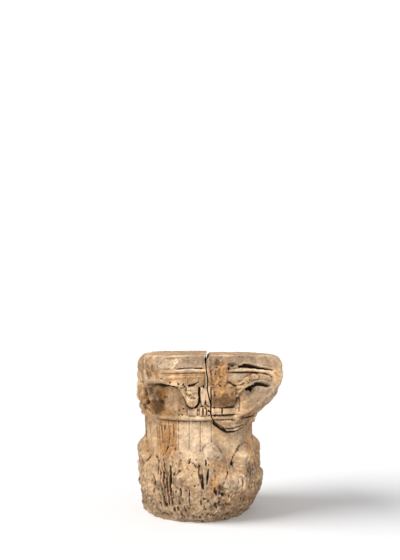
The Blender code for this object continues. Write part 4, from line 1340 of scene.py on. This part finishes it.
def soft_light(name, bearing, elevation, distance, size, power, receivers):
    """A soft square light that looks at the middle of the capital and lights one collection alone."""
    turn, rise = math.radians(bearing), math.radians(elevation)
    away = Vector((math.sin(turn) * math.cos(rise), -math.cos(turn) * math.cos(rise), math.sin(rise)))
    lamp = bpy.data.lights.new(name, "AREA")
    lamp.size = size
    lamp.energy = power
    light = bpy.data.objects.new(name, lamp)
    light.location = away * distance + Vector((0.0, 0.0, 0.5 * HEIGHT))
    light.rotation_euler = away.to_track_quat("Z", "Y").to_euler()
    bpy.context.scene.collection.objects.link(light)
    light.light_linking.receiver_collection = receivers
    return light


stones = bpy.data.collections.new("stones")
ground = bpy.data.collections.new("ground")
bpy.context.scene.collection.children.link(stones)
bpy.context.scene.collection.children.link(ground)

# The two stones
bare = bpy.data.materials.new("bare stone")
drum_values = {
    "Columns": COLUMNS, "Rings Below": RINGS_BELOW, "Rings Up": RINGS_UP, "Rings Above": RINGS_ABOVE,
    "Height": HEIGHT, "Radius": NECK_RADIUS, "Flutes": FLUTE_COUNT, "Flute Depth": FLUTE_DEPTH,
    "Line Depth": FLUTE_LINE_DEPTH, "Line Width": FLUTE_LINE_WIDTH, "Front Crowding": FRONT_CROWDING,
    "Rise Crowding": RISE_CROWDING, "Stone": bare,
}
drum = grown_mesh("drum", drum_tree(), drum_values, bpy.data.meshes.new("nothing"))
block_skin = carve_drum(drum.copy(), False)
corner_skin = carve_drum(drum, True)
bits = grown_mesh("bits", drill_tree(), {"Sides": HOLE_SIDES, "Stone": bare}, drill_points(corner_skin))
open_break, closed_break = break_mesh("open break", True), break_mesh("break", False)
block_mesh = cut_mesh("block", block_skin, ((open_break, "DIFFERENCE"), (bits.copy(), "DIFFERENCE")))
corner_mesh = cut_mesh("corner", corner_skin, ((closed_break, "INTERSECT"), (bits, "DIFFERENCE")))

keep_inside(block_mesh, "capital_block")
keep_inside(corner_mesh, "rejoined_corner")

both = bmesh.new()
both.from_mesh(block_mesh)
both.from_mesh(corner_mesh)
sky = BVHTree.FromBMesh(both)
both.free()
make_stone("carved_block", "capital_block", block_mesh, sky, marble("aged marble", 0.78, 0.80))
make_stone("carved_corner", "rejoined_corner", corner_mesh, sky, marble("browned marble", 0.95, 0.80))

# The floor, white and plain
floor_mesh = bpy.data.meshes.new("floor")
floor_corners = [(-6.0, -6.0, 0.0), (6.0, -6.0, 0.0), (6.0, 6.0, 0.0), (-6.0, 6.0, 0.0)]
floor_mesh.from_pydata(floor_corners, [], [(0, 1, 2, 3)])
floor = bpy.data.objects.new("floor", floor_mesh)
ground.objects.link(floor)
paper = bpy.data.materials.new("white paper")
paper.use_nodes = True
Wiring(paper.node_tree).fill(paper.node_tree.nodes["Principled BSDF"], {
    "Base Color": (0.90, 0.90, 0.91, 1.0), "Roughness": 1.0, "Specular IOR Level": 0.0,
    "Emission Color": (1.0, 1.0, 1.0, 1.0), "Emission Strength": 0.145,
})
floor_mesh.materials.append(paper)

# Soft light on the stones, and one low light from the left for the floor's shadow
soft_light("key", -30.0, 52.0, 1.8, 0.6, 26.0, stones)
soft_light("fill", 20.0, 22.0, 2.2, 1.4, 4.0, stones)
low_sun = bpy.data.lights.new("low sun", "SUN")
low_sun.energy = 3.5
low_sun.angle = math.radians(42.0)
side_light = bpy.data.objects.new("low sun", low_sun)
side_light.rotation_euler = (0.0, math.radians(-58.0), math.radians(-1.0))
bpy.context.scene.collection.objects.link(side_light)
side_light.light_linking.receiver_collection = ground

world = bpy.data.worlds.new("white room")
bpy.context.scene.world = world
world.use_nodes = True
room = Wiring(world.node_tree)
seen_directly = room.node("ShaderNodeLightPath").outputs["Is Camera Ray"]
room.fill(world.node_tree.nodes["Background"], {
    "Color": (1.0, 1.0, 1.0, 1.0), "Strength": room.spread(seen_directly, 0.0, 1.0, 0.38, 1.1),
})
bpy.context.scene.view_settings.view_transform = "Standard"

# The camera, at the photograph's viewpoint
lens = bpy.data.cameras.new("camera")
lens.lens = LENS
lens.sensor_width = 36.0
lens.clip_start = 0.05
camera = bpy.data.objects.new("camera", lens)
view_turn = math.radians(EYE_BEARING)
camera.location = (EYE_DISTANCE * math.sin(view_turn), -EYE_DISTANCE * math.cos(view_turn), EYE_HEIGHT)
camera.rotation_euler = (math.radians(90.0), 0.0, math.radians(EYE_BEARING - EYE_YAW))
lens.shift_y = HORIZON_SHIFT
bpy.context.scene.collection.objects.link(camera)
bpy.context.scene.camera = camera
